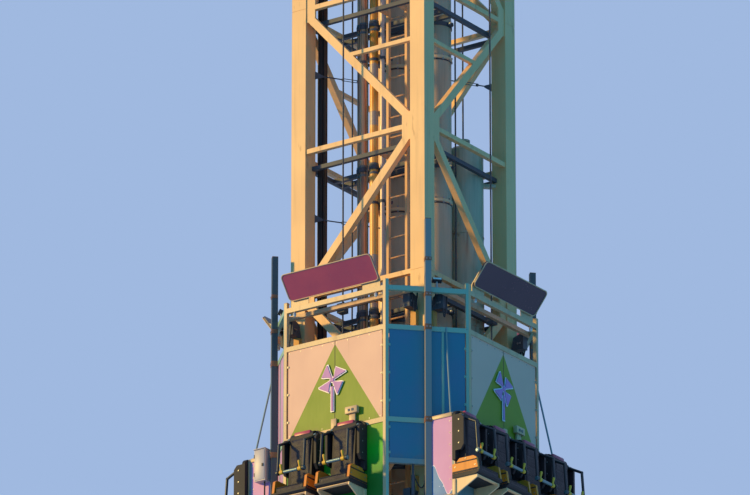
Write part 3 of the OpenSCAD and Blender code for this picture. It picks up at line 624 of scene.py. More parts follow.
# Tube stays
# Between the levels a threaded rod with a turnbuckle holds each thrust tube to a column's inner
# corner. The rods and their end plates are black steel.
column_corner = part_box("column_back_right")[0].x
stay_r = 0.009
stay_drop = 0.2
buckle_half = 0.1
end_plate = [(-0.01, -0.06), (0.11, -0.014), (0.11, 0.014), (-0.01, 0.06)]
stays = Stock()
for z in levels:
    stay_z = z - band_drop - stay_drop
    feet = [(-column_corner, tube_xs[1])]
    if not vessel_low.z - 0.1 < stay_z < vessel_high.z + 0.2:
        feet.append((column_corner, tube_xs[0]))
    for foot, tube_x in feet:
        start = Vector((foot, foot, stay_z))
        reach = Vector((tube_x, tube_y, stay_z - 0.03)) - start
        way = reach.normalized()
        end = start + way * (reach.length - tube_r + 0.004)
        middle = (start + end) / 2
        along = Matrix.Translation(start) @ way.to_track_quat("X", "Z").to_matrix().to_4x4()
        stays.prism(end_plate, 0.012, along @ turn("X", 90))
        stays.rod(start + way * 0.09, middle - way * buckle_half, stay_r)
        stays.rod(middle + way * buckle_half, end, stay_r)
        for s in both:
            beside = middle + Vector((0, 0, s * 0.017))
            stays.rod(beside - way * 0.12, beside + way * 0.12, r=0.006, sides=8)
            stays.rod(middle + way * (s * buckle_half), middle + way * (s * 0.125), r=0.022)
stays.piece("tube_stays", "tower", iron)

# Ladder
# Steel stiles and round rungs, painted cream, with the paint worn off where boots tread.
ladder_x = 0.39
rungs = weathered("ladder_paint", tone(222, 160, 100), tone(156, 112, 74), tone(116, 62, 34),
                  streaks=0.4, spots=0.9)
tread = rungs.noise(20.0).rises(0.45, 0.62)
on_rung = abs(rungs.x - ladder_x).falls(0.1, 0.14) * rungs.y.rises(-0.73, -0.725)
rungs.set("Base Color", rungs.mix(tread * on_rung * 0.7, rungs.colour, tone(120, 116, 110)))
dress(rungs, "ladder")

# Cable tray
# Two open channels on the left face hold the cables that feed the carriage's lights and locks. One
# is black, and the other still stands in its brown primer.
tray_low, tray_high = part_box("cable_tray")
tray_mid = (tray_low.y + tray_high.y) / 2
channel_half = 0.0225
cable_rs = (0.0085, 0.0065)
channel = weathered("tray_channel", tone(36, 34, 38), tone(84, 70, 58), tone(96, 56, 36),
                    roughness=0.55, metallic=0.2, streaks=0.4, spots=0.7)
primed = channel.mix(channel.noise(9.0, (1, 1, 0.1), 4), tone(140, 92, 62), tone(110, 74, 54))
channel.set("Base Color", channel.mix(channel.y.rises(tray_mid - 0.001, tray_mid + 0.001),
                                      channel.colour, primed))
dress(channel, "cable_tray")
sheath = weathered("cable_sheath", tone(34, 34, 38), tone(70, 62, 54), tone(90, 80, 70),
                   roughness=0.55, streaks=0.3, spots=0.2)


def steps(count):
    """From 0 to 1 in so many equal steps."""
    return [k / count for k in range(count + 1)]


power = Stock()
for middle, (k, r) in product((tray_low.y + channel_half, tray_high.y - channel_half),
                              enumerate(cable_rs)):
    heights = [tray_low.z + 0.02 + (tray_high.z - tray_low.z - 0.04) * t for t in steps(60)]
    path = [(tray_low.x + 0.021 + r + 0.012 * k,
             middle + 0.0035 - 0.007 * k + 0.0015 * math.sin(z * 2.1 + 3 * k), z) for z in heights]
    power.tube(path, r)
power.piece("tray_cables", "tower", sheath, smooth=60)

# Hoist cables and sheaves
# Each cable is greased wire rope in one closed loop, laid right-handed. The cast sheaves turn on
# greased pins between plates.
rope = Finish("wire_rope", metallic=0.55)
lay = rope.add("ShaderNodeTexWave", {"bands_direction": "DIAGONAL"}, {
    "Vector": rope.place, "Scale": 22.0, "Distortion": 0.4}, 1)
rope.set("Base Color", rope.mix(lay.rises(0.15, 0.8), tone(38, 38, 40), tone(96, 98, 102)))
rope.relief(lay, 0.003)
rope.set("Roughness", 0.35 + 0.3 * rope.noise(6.0))
dress(rope, "hoist_cables")
wheel = weathered("sheave_iron", tone(86, 90, 94), tone(70, 62, 54), tone(100, 58, 36),
                  metallic=0.5, streaks=0.3, spots=0.7)
dress(wheel, "cable_sheaves")

# These turn a piece drawn for the front to the four sides, and to the corner after each
side_turns = [turn("Z", 90 * i) for i in range(4)]
corner_turns = [turn("Z", 90 * i + 45) for i in range(4)]
cable_xs = (-0.12, 0.24, -0.12, 0.24)
sheave_low, sheave_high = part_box("cable_sheaves")
sheave_r = 0.328
sheave_zs = (sheave_low.z + sheave_r, sheave_high.z - sheave_r)
pin_half = 0.095
pin_r, washer_r, nut_r = 0.026, 0.05, 0.034
pins = Stock()
for (side, cable_x), z in product(zip(side_turns, cable_xs), sheave_zs):
    hub = side @ shift(cable_x, sheave_r - sheave_high.x, z) @ turn("Y", 90)
    pins.spin([(pin_r, -pin_half), (pin_r, pin_half)], hub, sides=16)
    for s in both:
        pins.spin([(washer_r, s * 0.08), (washer_r, s * 0.092)], hub, sides=20)
        pins.spin([(nut_r, s * 0.092), (nut_r, s * 0.104)], hub, sides=6)
pins.piece("sheave_pins", "tower", zinc)

# Carriage frame
# Welded box posts stand at the octagon's eight corners, with flat ring beams let in between them.
# Paler paint than the tower's, chalky and chipped at the edges, has teal painted shade on the corner
# rails.
# The posts are closed with caps, and carry small lugs on which the panels hang.
side_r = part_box("guard_ring")[1].x
guard_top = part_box("guard_ring")[1].z
panel_rail_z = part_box("panel_ring")[0].z
post_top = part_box("corner_posts")[1].z
rail_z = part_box("seat_ring")[1].z
middle_low, middle_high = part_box("middle_ring")
bottom_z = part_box("bottom_ring")[0].z
side_half = 0.865
rail_h = 0.07
corner_r = (side_r + side_half) / math.sqrt(2)
post_edge = side_half - 0.045
corner_edge = (side_r - side_half) / math.sqrt(2) - 0.045

pale_paint = weathered("pale_paint", tone(214, 174, 126), tone(160, 124, 92), tone(128, 74, 44),
                       roughness=0.42, streaks=0.4, spots=0.7)
flakes = pale_paint.noise(42.0, detail=2).rises(0.64, 0.68) * pale_paint.noise(4.0).rises(0.5, 0.65)
x_out, y_out = abs(pale_paint.x), abs(pale_paint.y)
# The rails and posts of the corner faces turn teal: painted shade.
corner_shade = pale_paint.least(x_out, y_out).rises(0.867, 0.873) * (x_out + y_out).falls(
    side_r + side_half + 0.01, side_r + side_half + 0.03)
paint_and_corner_shade = pale_paint.mix(corner_shade, pale_paint.colour, tone(150, 180, 150))
pale_paint.set("Base Color", pale_paint.mix(flakes * 0.6, paint_and_corner_shade, tone(132, 118, 108)))
dress(pale_paint, "corner_posts", "guard_ring", "panel_ring", "seat_ring", "bottom_ring",
      "sign_brackets")


def spot(place, point, way=(0, -1, 0)):
    """A point of a turned or shifted piece, and the way that a screw head on it faces."""
    return place @ Vector(point), place.to_3x3() @ Vector(way)


lug_half = 0.018
lug_back, lug_front = 0.012, 0.004
post_cap = ((post_edge - 0.004, 0), (side_half, 0), (side_half + 0.034, 0.034),
            (side_half - 0.012, 0.08), (post_edge - 0.004, 0.064))
first_lug, lug_pitch = 0.24, 0.41
post_lugs = [rail_z + first_lug + lug_pitch * k for k in range(3)]
corner_lugs = (*post_lugs, middle_high.z + 0.08, rail_z - rail_h - 0.08)
trim = Stock()
sockets = Stock()
lug_screws = []
for side, corner in zip(side_turns, corner_turns):
    for s in both:
        trim.prism([(s * x, y) for x, y in post_cap], 0.012, side @ shift(0, -side_r, post_top))
        for z in post_lugs:
            trim.block((s * post_edge, lug_front - side_r, z - lug_half),
                       (s * (post_edge - 0.034), lug_back - side_r, z + lug_half), side)
            lug_screws.append(spot(side, (s * (post_edge - 0.027), lug_front - side_r, z)))
        for z in corner_lugs:
            trim.block((s * corner_edge, lug_front - corner_r, z - lug_half),
                       (s * (corner_edge - 0.026), lug_back - corner_r, z + lug_half), corner)
    # A stub on the middle of the seat rail, and one beside it under a small box with two sockets
    on_rail = side @ shift(0, -side_r, rail_z)
    trim.block((-0.045, -0.02, -0.05), (0.045, 0.002, 0.13), on_rail)
    trim.block((0.27, -0.03, -0.05), (0.37, 0.002, 0.15), on_rail)
    trim.block((0.22, -0.06, 0.14), (0.42, 0.002, 0.24), on_rail)
    for x in (0.27, 0.33):
        sockets.block((x, -0.066, 0.17), (x + 0.035, -0.055, 0.205), on_rail)
trim.piece("post_caps_and_lugs", "carriage", pale_paint, bevel=0.002)
sockets.piece("box_sockets", "carriage", rubber)
fasten("lug_screws", "carriage", lug_screws, radius=0.008, height=0.006)

# Guides, masts and braces
# Box beams beside the tower carry eight pairs of dark guide housings, whose orange plastic wear
# pads run on the columns. A square mast stands on each corner, clamped to the rails by bolted
# collars and capped, and hoses hang in loops below a small plate at the top of the corner.
teal = weathered("teal_paint", tone(128, 148, 142), tone(96, 104, 96), tone(112, 68, 44),
                 roughness=0.45, streaks=0.4)
dress(teal, "middle_ring", "stay_rods", "wide_bank_walls")
mast_paint = weathered("mast_paint", tone(70, 82, 82), tone(62, 66, 64), tone(104, 66, 44),
                       spots=0.6)
is_near = (mast_paint.x * mast_paint.y).falls(-0.1, 0.1)
mast_paint.set("Base Color", mast_paint.mix(is_near, mast_paint.colour, tone(142, 140, 130)))
dress(mast_paint, "masts")
beam_paint = weathered("beam_paint", tone(214, 166, 122), tone(150, 112, 84), tone(104, 62, 40),
                       streaks=0.4, spots=0.6)
dress(beam_paint, "guide_beams")
worn_pad = weathered("yellow_pad", tone(226, 158, 72), tone(140, 100, 60), tone(60, 48, 36),
                     roughness=0.6, spots=0.6)
dress(worn_pad, "guide_pads")

guide_x = 1.0
housing_half = 0.055
beam_w = 0.06
beam_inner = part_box("guide_housings")[1].x
bolt_zs = (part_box("guide_beams")[1].z - beam_w - 0.1, bottom_z + beam_w + 0.1)
guide_spots = [
    spot(side, (s * guide_x + way * housing_half, inward - beam_inner, z), (way, 0, 0))
    for side, s, z, inward, way in product(side_turns, both, bolt_zs, (0.05, 0.09), both)]
fasten("guide_bolts", "carriage", guide_spots, radius=0.012, height=0.012)

corner_plate = [(-0.36, 0.004), (0.36, 0.004), (0.12, 0.2), (-0.12, 0.2)]
hose_loops = ((-0.2, 0.32), (0.06, 0.24), (0.22, 0.38))
hose_w = 0.09
plates = Stock()
loops = Stock()
for corner in corner_turns:
    at_top = corner @ shift(0, -corner_r, guard_top)
    plates.prism(corner_plate, 0.006, at_top)
    for x, drop in hose_loops:
        loops.tube([at_top @ Vector((x + hose_w * t, 0.1 + 0.05 * t, -drop * math.sin(math.pi * t)))
                    for t in steps(14)], r=0.011)
plates.piece("corner_plates", "carriage", teal)
loops.piece("corner_hoses", "carriage", sheath, smooth=60)

mast_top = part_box("masts")[1].z
mast_half = 0.0425
collar_half = mast_half + 0.006
collar_spots = ((mast_top - 0.62, 0.05), (guard_top - 0.16, 0.06), (panel_rail_z - 0.005, 0.08),
                (rail_z - 0.075, 0.08))
brown = weathered("brown_primer", tone(150, 96, 60), tone(100, 66, 44), tone(84, 46, 28),
                  roughness=0.6, spots=0.9)
collars = Stock()
bolts = []
for corner in corner_turns:
    mast = corner @ shift(0, -corner_r - mast_half, 0)
    collars.block((-mast_half, -mast_half, mast_top), (mast_half, mast_half, mast_top + 0.01), mast)
    for z, h in collar_spots:
        collars.block((-collar_half, -collar_half, z), (collar_half, mast_half - 0.001, z + h), mast)
        bolts += [spot(mast, (s * 0.023, -collar_half, z + h / 2)) for s in both]
collars.piece("mast_collars", "carriage", brown, bevel=0.002)
fasten("mast_bolts", "carriage", bolts, radius=0.009, height=0.009)

# Side panels
# Two gloss boards on each side, painted peach with a green triangle across the pair. A cut-out
# pinwheel with a pale edge stands on spacers in front of it, in pink.
panel_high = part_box("side_panels")[1]
panel_face, panel_top_z = panel_high.x, panel_high.z
panel_half = 0.795


def board(name):
    """Brushed gloss on sheet steel: faint vertical brush marks, and clouds of wear."""
    f = Finish(name, coat=0.04)
    brush = f.noise(60.0, (1, 1, 0.06), 2)
    f.clouds = f.noise(1.6, detail=4)
    f.set("Roughness", 0.5 + 0.14 * (f.clouds - 0.5) + 0.08 * brush)
    f.relief(brush, 0.0006, 0.6)
    return f


def clouded(f, one, other, share=1.0):
    """Two paints of a board, which pass into each other in soft clouds."""
    return f.mix(f.clouds.rises(0.3, 0.7) * share, one, other)


def grimy(f, colour, low, high, amount=0.4):
    """Dirt that has settled on a board's lower edge and run from its upper one."""
    runs = f.noise(14.0, (1, 1, 0.05), 4).rises(0.58, 0.8) * f.z.rises(high - 0.4, high)
    silt = f.z.falls(low, low + 0.12) * f.noise(7.0, detail=4).rises(0.35, 0.7)
    return f.mix(f.most(runs * 0.45, silt) * amount, colour, tone(122, 98, 74))


peach = tone(238, 182, 150)
front = board("peach_paint")
off_middle = front.least(abs(front.x), abs(front.y))
slope = off_middle * ((panel_top_z - rail_z) / panel_half) + front.z
painted = front.mix(slope.falls(panel_top_z - 0.05, panel_top_z - 0.044),
                    clouded(front, peach, darker(peach, 0.85), 0.25),
                    clouded(front, tone(122, 144, 2), tone(110, 132, 2), 0.4))
seam_line = front.math("GREATER_THAN", 0.006, off_middle)
front.set("Base Color", front.mix(seam_line, grimy(front, painted, rail_z, panel_top_z), tone(
    70, 62, 56)))
dress(front, "side_panels")

blade_pink = weathered("pinwheel_pink", tone(200, 132, 186), tone(150, 110, 120), tone(96, 66, 60),
                       roughness=0.55, streaks=0.3, spots=0.3)
edge_white = weathered("pinwheel_edge", tone(246, 232, 226), tone(180, 150, 136), tone(120, 84, 70),
                       roughness=0.35, streaks=0.3, spots=0.3)
wheel_z = (rail_z + panel_top_z) / 2 + 0.07
sail_size = 0.235
sail_turn = math.degrees(0.35)
hub_r = 0.03
stem_half, stem_top, stem_drop = 0.014, -0.1, 0.46


def sail(rim):
    """A folded paper blade: straight along the wind, with its tip bowed back to the hub."""
    x, y = 0.5 * sail_size, 0.62 * sail_size + rim
    bow = [(x * (1 - t) - rim, y * (1 - t) ** 1.7 - rim * t) for t in steps(8)[1:-1]]
    return [(-rim, -rim), (sail_size + rim, -rim), (sail_size + rim, 0.06 * sail_size), (x, y), *bow]


for name, paint, rim, thick, off in (("pinwheel_edges", edge_white, 0.016, 0.01, 0.01),
                                     ("pinwheels", blade_pink, 0.0, 0.012, 0.019)):
    badge = Stock()
    hub = [(0, 0), (hub_r + rim, 0), (hub_r + rim, thick + 0.003), (0, thick + 0.003)]
    stem = [(s * (stem_half + rim), y) for s, y in (
        (-1, -stem_drop - rim), (1, -stem_drop - rim), (1, stem_top), (-1, stem_top))]
    for side in side_turns:
        flat = side @ shift(-0.03, -panel_face - off, wheel_z) @ turn("X", 90)
        for k in range(4):
            badge.prism(sail(rim), thick, flat @ turn("Z", 90 * k + sail_turn))
        badge.spin(hub, flat, sides=20)
        badge.prism(stem, thick, flat)
    badge.piece(name, "carriage", paint, smooth=30)

screw_rows = (rail_z + 0.03, panel_top_z - 0.03)
panel_screws = [spot(side, (s * (0.03 + (panel_half - 0.055) * t), -panel_face, z))
                for side, s, t, z in product(side_turns, both, steps(4), screw_rows)]
fasten("panel_screws", "carriage", panel_screws, radius=0.006, height=0.004, sides=8)

# Corner panels
# Gloss boards on the octagon's corners: blue at the front right and back left, and pink at the
# other two. A thin strip covers the joint between the boards.
octagon = board("blue_paint")
is_pink = (octagon.x * octagon.y).rises(-0.01, 0.01)
mauve = clouded(octagon, tone(206, 156, 186), tone(190, 142, 178))
deep = octagon.mix(octagon.clouds.rises(0.35, 0.65), tone(40, 122, 140), tone(62, 118, 142))
octagon.set("Base Color", grimy(octagon, octagon.mix(is_pink, deep, mauve), middle_high.z,
                                panel_top_z))
dress(octagon, "corner_panels")

strip_x, strip_half = 0.22, 0.017
strip_y = 0.012 - corner_r
board_rows = ((rail_z, panel_top_z), (middle_high.z, rail_z - rail_h))
strips = Stock()
for corner, (low, high) in product(corner_turns, board_rows):
    strips.block((strip_x - strip_half, strip_y - 0.006, low + 0.002),
                 (strip_x + strip_half, strip_y, high - 0.002), corner)
strips.piece("joint_strips", "carriage", pale_paint, bevel=0.0015)

# Buffer cylinders
# Behind the open bay under each corner stand the three cylinders of the braking buffer, with black
# hoses that loop between them.
buffer_h = middle_low.z - bottom_z - rail_h
buffer_profile = [(0.02, 0), (0.02, 0.05), (0.027, 0.055), (0.027, buffer_h - 0.16),
                  (0.016, buffer_h - 0.15), (0.016, buffer_h)]
buffer_xs = (-0.2, -0.02, 0.17)
buffers = Stock()
hoses = Stock()
for corner in corner_turns:
    on_rail = corner @ shift(0, 0.03 - corner_r, bottom_z + rail_h)
    for x in buffer_xs:
        buffers.spin(buffer_profile, on_rail @ shift(x, 0, 0), sides=16)
    hoses.tube([on_rail @ Vector((-0.17 + 0.16 * t, -0.012 * math.sin(math.pi * t),
                                  0.3 - 0.14 * math.sin(math.pi * t))) for t in steps(12)], r=0.009)
buffers.piece("buffer_cylinders", "carriage", iron, smooth=50)
hoses.piece("buffer_hoses", "carriage", sheath, smooth=60)

# Bank walls
# The wall behind each narrow bank is green, fading from lime at the top to deep green. The wide
# banks stand out on thick teal walls, whose ends are closed by pink sheets with painted hills.
wall = board("green_paint")
fade = wall.z.rises(bottom_z + 0.3, rail_z - 0.02) * 0.75 + 0.25 * wall.clouds
lower = wall.mix(fade.rises(0.1, 0.6), tone(4, 112, 22), tone(10, 180, 12))
lime = wall.mix(fade.rises(0.55, 1.0), lower, tone(128, 160, 20))
wall.set("Base Color", grimy(wall, lime, bottom_z + rail_h, rail_z - rail_h, 0.35))
dress(wall, "narrow_bank_walls")

end_pink = tone(218, 150, 192)
ends = board("pink_paint")
out = ends.most(abs(ends.x), abs(ends.y)) - (side_r - 0.34)
hill = ends.math("SINE", out * 15.0 + 0.9) * 0.10 + ends.math("SINE", out * 41.0) * 0.025
ground = ends.z - (bottom_z + 0.42) - hill + out * 0.9
hills = ground.falls(0.0, 0.005)
outline = ground.falls(0.016, 0.021)
cell = ends.add("ShaderNodeTexVoronoi", None, {"Vector": ends.place, "Scale": 14.0})
dots = cell.falls(0.13, 0.16) * hills
sky = ends.mix(outline, clouded(ends, end_pink, darker(end_pink, 0.85), 0.25), tone(250, 226, 224))
hill_side = ends.mix(dots, clouded(ends, tone(92, 146, 188), tone(74, 124, 176)), tone(
    206, 220, 232))
ends.set("Base Color", grimy(ends, ends.mix(hills, sky, hill_side), bottom_z, rail_z))
dress(ends, "end_walls")

wide_sides = side_turns[1::2]
wall_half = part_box("end_walls")[1].y
wall_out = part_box("wide_bank_walls")[1].x
cheek_h, cheek_t = 0.055, 0.014
first_screw, screw_pitch = 0.1, 0.17
cheeks = Stock()
cheek_screws = []
for side, s in product(wide_sides, both):
    face = s * wall_half
    for low in (rail_z - cheek_h, bottom_z):
        cheeks.block((face, -side_r - 0.004, low),
                     (face + s * cheek_t, -wall_half - 0.075, low + cheek_h), side)
    cheeks.block((face, -wall_out + 0.004, bottom_z + 0.004),
                 (face + s * 0.008, -wall_out + 0.02, rail_z - 0.004), side)
    for k, y in product(range(7), (-side_r + 0.03, -wall_out + 0.035)):
        z = bottom_z + first_screw + screw_pitch * k
        cheek_screws.append(spot(side, (face, y, z), (s, 0, 0)))
cheeks.piece("end_wall_rails", "carriage", pale_paint, bevel=0.002)
fasten("end_wall_screws", "carriage", cheek_screws, radius=0.007, height=0.006, sides=8)

# Sign boards
# Blank boards lean out over each side, maroon, with dark plum painted on the wide sides' boards as
# shade; they are folded from sheet with a bright edge trim. They stand on bent plates and have two
# ribs.
sign_w, sign_h, sign_t = 1.52, 0.395, 0.03
sign_corner = 0.06
sign_lean = 37
sign_back, sign_up = 0.02, 0.11
rib_x, rib_half = 0.3, 0.02
sign_face = Finish("maroon_paint", coat=0.2)
blotch = sign_face.noise(1.9, detail=4)
scuff = sign_face.noise(34.0).rises(0.62, 0.7) * blotch.rises(0.45, 0.6)
maroon = sign_face.mix(blotch.rises(0.3, 0.7), tone(176, 68, 84), tone(160, 60, 84))
# The wide sides' boards are painted dark plum as shade over the same maroon.
painted_plum_shade = sign_face.mix(blotch, tone(34, 12, 44), tone(28, 10, 40))
in_wide_shade = (abs(sign_face.x) - abs(sign_face.y)).rises(-0.01, 0.01)
sign_face.set("Base Color", sign_face.mix(scuff * 0.4, sign_face.mix(in_wide_shade, maroon, painted_plum_shade), tone(
    150, 92, 104)))
sign_face.set("Roughness", 0.3 + 0.3 * blotch)
sign_face.relief(sign_face.noise(48.0, detail=2), 0.0006)
dress(sign_face, "sign_boards")

sign_rim = []
for (quarter, (x, z)), t in product(enumerate(((1, 1), (-1, 1), (-1, -1), (1, -1))), steps(6)):
    bend = math.pi / 2 * (quarter + t)
    sign_rim.append(Vector((x * (sign_w / 2 - sign_corner) + sign_corner * math.cos(bend), -sign_t,
                            sign_h / 2 + z * (sign_h / 2 - sign_corner)
                            + sign_corner * math.sin(bend))))
edging = Stock()
ribs = Stock()
for side in side_turns:
    lie = side @ shift(0, sign_back - side_r, guard_top + sign_up) @ turn("X", sign_lean)
    edging.tube([lie @ p for p in sign_rim], r=0.008, closed=True)
    for s in both:
        ribs.block((s * rib_x - rib_half, 0, 0.05),
                   (s * rib_x + rib_half, 0.025, sign_h - 0.05), lie)
edging.piece("sign_edging", "carriage", pale_paint, smooth=60)
ribs.piece("sign_ribs", "carriage", pale_paint, bevel=0.003)

# Lamps and control boxes
# Small lamps hang at the ends of the guard rails, and a floodlight stands on each corner rail. A
# sheet steel cabinet with a hinged door is screwed to the end wall of each wide bank.
cabinet = weathered("grey_paint", tone(190, 178, 172), tone(148, 134, 118), tone(128, 92, 64),
                    roughness=0.4, streaks=0.45)
dress(cabinet, "control_boxes")
box_low, box_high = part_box("control_boxes")
door_x = box_high.y
box_mid_z = (box_low.z + box_high.z) / 2
hinge_y, handle_y = -1.566, -1.42
box_cable = [
    (wall_half + 0.05, -1.44, box_low.z + 0.01), (wall_half + 0.05, -1.44, box_low.z - 0.12),
    (wall_half + 0.045, -1.445, box_low.z - 0.25), (wall_half + 0.016, -1.45, box_low.z - 0.36),
    (wall_half + 0.012, -1.45, bottom_z + 0.1)]
doors = Stock()
latches = Stock()
for side in wide_sides:
    doors.block((door_x - 0.001, -1.559, box_low.z + 0.014),
                (door_x + 0.009, -1.396, box_high.z - 0.014), side)
    doors.block((wall_half + 0.002, -1.578, box_high.z - 0.004),
                (door_x + 0.018, -1.377, box_high.z + 0.006), side)
    for z in (box_low.z + 0.1, box_high.z - 0.1):
        latches.rod(side @ Vector((door_x + 0.004, hinge_y, z - 0.025)),
                    side @ Vector((door_x + 0.004, hinge_y, z + 0.025)), r=0.007, sides=10)
    latches.block((door_x + 0.006, handle_y - 0.012, box_mid_z - 0.03),
                  (door_x + 0.02, handle_y + 0.012, box_mid_z + 0.01), side)
    latches.tube([side @ Vector(p) for p in box_cable], r=0.011)
doors.piece("cabinet_doors", "carriage", cabinet, bevel=0.003)
latches.piece("cabinet_latches", "carriage", sheath, bevel=0.001)

lamp_glass = Finish("lamp_glass", roughness=0.25, coat=0.6)
ribs_seen = lamp_glass.add("ShaderNodeTexWave", None, {
    "Vector": lamp_glass.place, "Scale": 30.0}, 1)
lamp_glass.set("Base Color", lamp_glass.mix(ribs_seen, tone(240, 234, 216), tone(214, 208, 190)))
lamp_glass.relief(ribs_seen, 0.001)
lamp_x, lamp_tilt = 0.141, -25
hang_in, hang_drop = 0.17, 0.1
heads = Stock()
stems = Stock()
lenses = Stock()
for corner in corner_turns:
    foot = corner @ shift(lamp_x, 0.03 - corner_r, guard_top)
    stems.spin([(0.012, -0.002), (0.012, 0.1)], foot, sides=12)
    stems.block((-0.028, -0.012, 0), (0.028, 0.012, 0.006), foot)
    head = foot @ shift(0, 0, 0.115) @ turn("X", lamp_tilt)
    heads.block((-0.07, -0.04, -0.02), (0.07, 0.03, 0.02), head)
    for k in range(5):
        fin = 0.028 * k - 0.058
        heads.block((fin, 0.028, -0.016), (fin + 0.005, 0.046, 0.016), head)
    lenses.block((-0.06, -0.044, -0.015), (0.06, -0.039, 0.015), head)
for side, s in product(side_turns, both):
    arm = side @ shift(s * (side_half - hang_in), 0.012 - side_r, guard_top - hang_drop)
    stems.rod(arm @ Vector((0, 0, 0.034)), arm @ Vector((0, 0, -0.012)), r=0.008, sides=10)
    stems.spin([(0.024, -0.02), (0.027, 0), (0.016, 0.014)], arm, sides=16)
    lenses.spin([(0, -0.044), (0.014, -0.041), (0.021, -0.032), (0.022, -0.019)], arm, sides=16)
heads.piece("lamp_heads", "carriage", sheath, bevel=0.002)
stems.piece("lamp_stems", "carriage", cabinet, bevel=0.002)
lenses.piece("lamp_lenses", "carriage", lamp_glass, smooth=50)

# Seats
# Each seat is a black moulded shell with wings, on a pan that two folded brackets carry. Orange
# moulded sides hold a vinyl cushion, and a pad with sewn channels covers the back.
banks = ((side_r, (-0.465, 0.265)), (wall_out, (-1.095, -0.365, 0.365, 1.095)))
seats = {}
for i, name in enumerate(sides):
    bank_out, seat_xs = banks[i % 2]
    for k, x in enumerate(seat_xs):
        seats[f"lap_bar_{name}_{k + 1}"] = side_turns[i] @ shift(x, -bank_out, rail_z)

shell = weathered("black_shell", tone(26, 25, 30), tone(58, 52, 50), tone(80, 72, 66),
                  roughness=0.66, streaks=0.3, spots=0.2)
rubbed = shell.noise(70.0, (1, 1, 0.3), 2).rises(0.62, 0.72) * shell.noise(5.0).rises(0.5, 0.62)
shell.set("Base Color", shell.mix(rubbed * 0.4, shell.colour, tone(84, 78, 74)))
dress(shell, "seat_backs", "seat_pans")
bucket = weathered("orange_shell", tone(236, 134, 26), tone(170, 96, 40), tone(112, 64, 36),
                   streaks=0.4, spots=0.4)
dress(bucket, "seat_sides")
bracket_cream = weathered("bracket_cream", tone(244, 196, 140), tone(176, 132, 92),
                          tone(128, 74, 40), roughness=0.45, streaks=0.4, spots=0.6)
dress(bracket_cream, "seat_brackets")
red_cap = weathered("red_cap", tone(196, 70, 92), tone(130, 60, 66), tone(90, 40, 44),
                    roughness=0.35, streaks=0.3, spots=0.4)

seat_edge = 0.29
web_x, web_half = 0.26, 0.028
band_t = 0.004
band_spans = ((-0.938, -0.912, 0.004, 0.424), (-0.80, -0.782, 0.052, 0.404))
shell_spots = ((-0.05, -0.85), (-0.38, -0.87), (-0.22, -0.75), (-0.11, -0.16), (-0.11, -0.33),
               (-0.11, -0.5))
bands = Stock()
caps = Stock()
webs = Stock()
shell_screws = []
for seat in seats.values():
    for s in both:
        for low, high, start, end in band_spans:
            bands.block((s * seat_edge, -end, low), (s * (seat_edge + band_t), -start, high), seat)
        shell_screws += [spot(seat, (s * seat_edge, y, z), (s, 0, 0)) for y, z in shell_spots]
        webs.block((s * web_x - web_half, -0.05, -1.236), (s * web_x + web_half, -0.001, -1.01), seat)
    caps.block((-0.14, -0.122, -0.085), (0.14, -0.045, 0.016), seat)
    webs.block((-0.25, -0.40, -1.012), (0.25, -0.34, -1.0005), seat)
bands.piece("seat_bands", "carriage", shell, bevel=0.002)
caps.piece("headrest_caps", "carriage", red_cap, bevel=0.022)
webs.piece("bracket_flanges", "carriage", bracket_cream, bevel=0.002)
fasten("seat_screws", "carriage", shell_screws, radius=0.008, height=0.006, sides=8)

vinyl = Finish("dark_vinyl")
grain = vinyl.add("ShaderNodeTexVoronoi", {"feature": "DISTANCE_TO_EDGE"}, {
    "Vector": vinyl.place, "Scale": 260.0})
worn = vinyl.noise(6.0, detail=4).rises(0.45, 0.7)
vinyl.set("Base Color", vinyl.mix(worn * 0.6, tone(36, 30, 36), tone(66, 54, 58)))
vinyl.set("Roughness", 0.5 + 0.2 * worn)
vinyl.relief(grain.rises(0.0, 0.12) + 0.4 * vinyl.noise(28.0), 0.0006)
voxel = 0.011
blow_steps = 20
channel_depth, channel_w = 0.006, 0.008


def stuffed(name, low, high, rest_axis, rest_at, cap):
    """A closed cover, remeshed evenly and blown up as cloth; its back or underside stays flat."""
    mould = Stock()
    mould.block(low, high)
    thin = min(Vector(high) - Vector(low))
    bmesh.ops.bevel(mould.bm, geom=mould.bm.edges, offset=thin * 0.3, segments=3, profile=0.6,
                    affect="EDGES")
    made = added(name, mould.mesh(name))
    even = made.modifiers.new("even", "REMESH")
    even.mode, even.voxel_size = "VOXEL", voxel
    settle(made)
    start = [v.co.copy() for v in made.data.vertices]
    held = made.vertex_groups.new(name="held")
    held.add([v.index for v in made.data.vertices
              if abs(v.co[rest_axis] - rest_at) < 0.006], 1.0, "REPLACE")
    cloth = made.modifiers.new("cloth", "CLOTH")
    cloth.settings.use_pressure = True
    cloth.settings.uniform_pressure_force = 4
    cloth.settings.vertex_group_mass = "held"
    cloth.settings.effector_weights.gravity = 0
    cloth.settings.quality = 4
    cloth.point_cache.frame_end = blow_steps
    for step in range(1, blow_steps + 1):
        bpy.context.scene.frame_set(step)
    settle(made)
    bpy.context.scene.frame_set(1)
    made.vertex_groups.clear()
    for vertex, was in zip(made.data.vertices, start):
        moved = vertex.co - was
        if moved.length > cap:
            vertex.co = was + moved.normalized() * cap
    return made


def sewn(made, lines, axis, front_axis, front_sign):
    """Presses sewn channels into the cover where it faces forward."""
    for vertex in made.data.vertices:
        if vertex.normal[front_axis] * front_sign > 0.2:
            press = sum(math.exp(-((vertex.co[axis] - at) / channel_w) ** 2) for at in lines)
            vertex.co[front_axis] -= front_sign * channel_depth * press


def copied(made, name):
    """The same stuffed piece on every seat, as one mesh."""
    whole = Stock()
    for place in seats.values():
        before = len(whole.bm.verts)
        whole.bm.from_mesh(made.data)
        whole.bm.verts.ensure_lookup_table()
        bmesh.ops.transform(whole.bm, matrix=place, verts=whole.bm.verts[before:])
    bpy.data.objects.remove(made)
    every = added(name, whole.mesh(name))
    every.data.shade_smooth()
    fit_out(every, "carriage", vinyl)
    return every


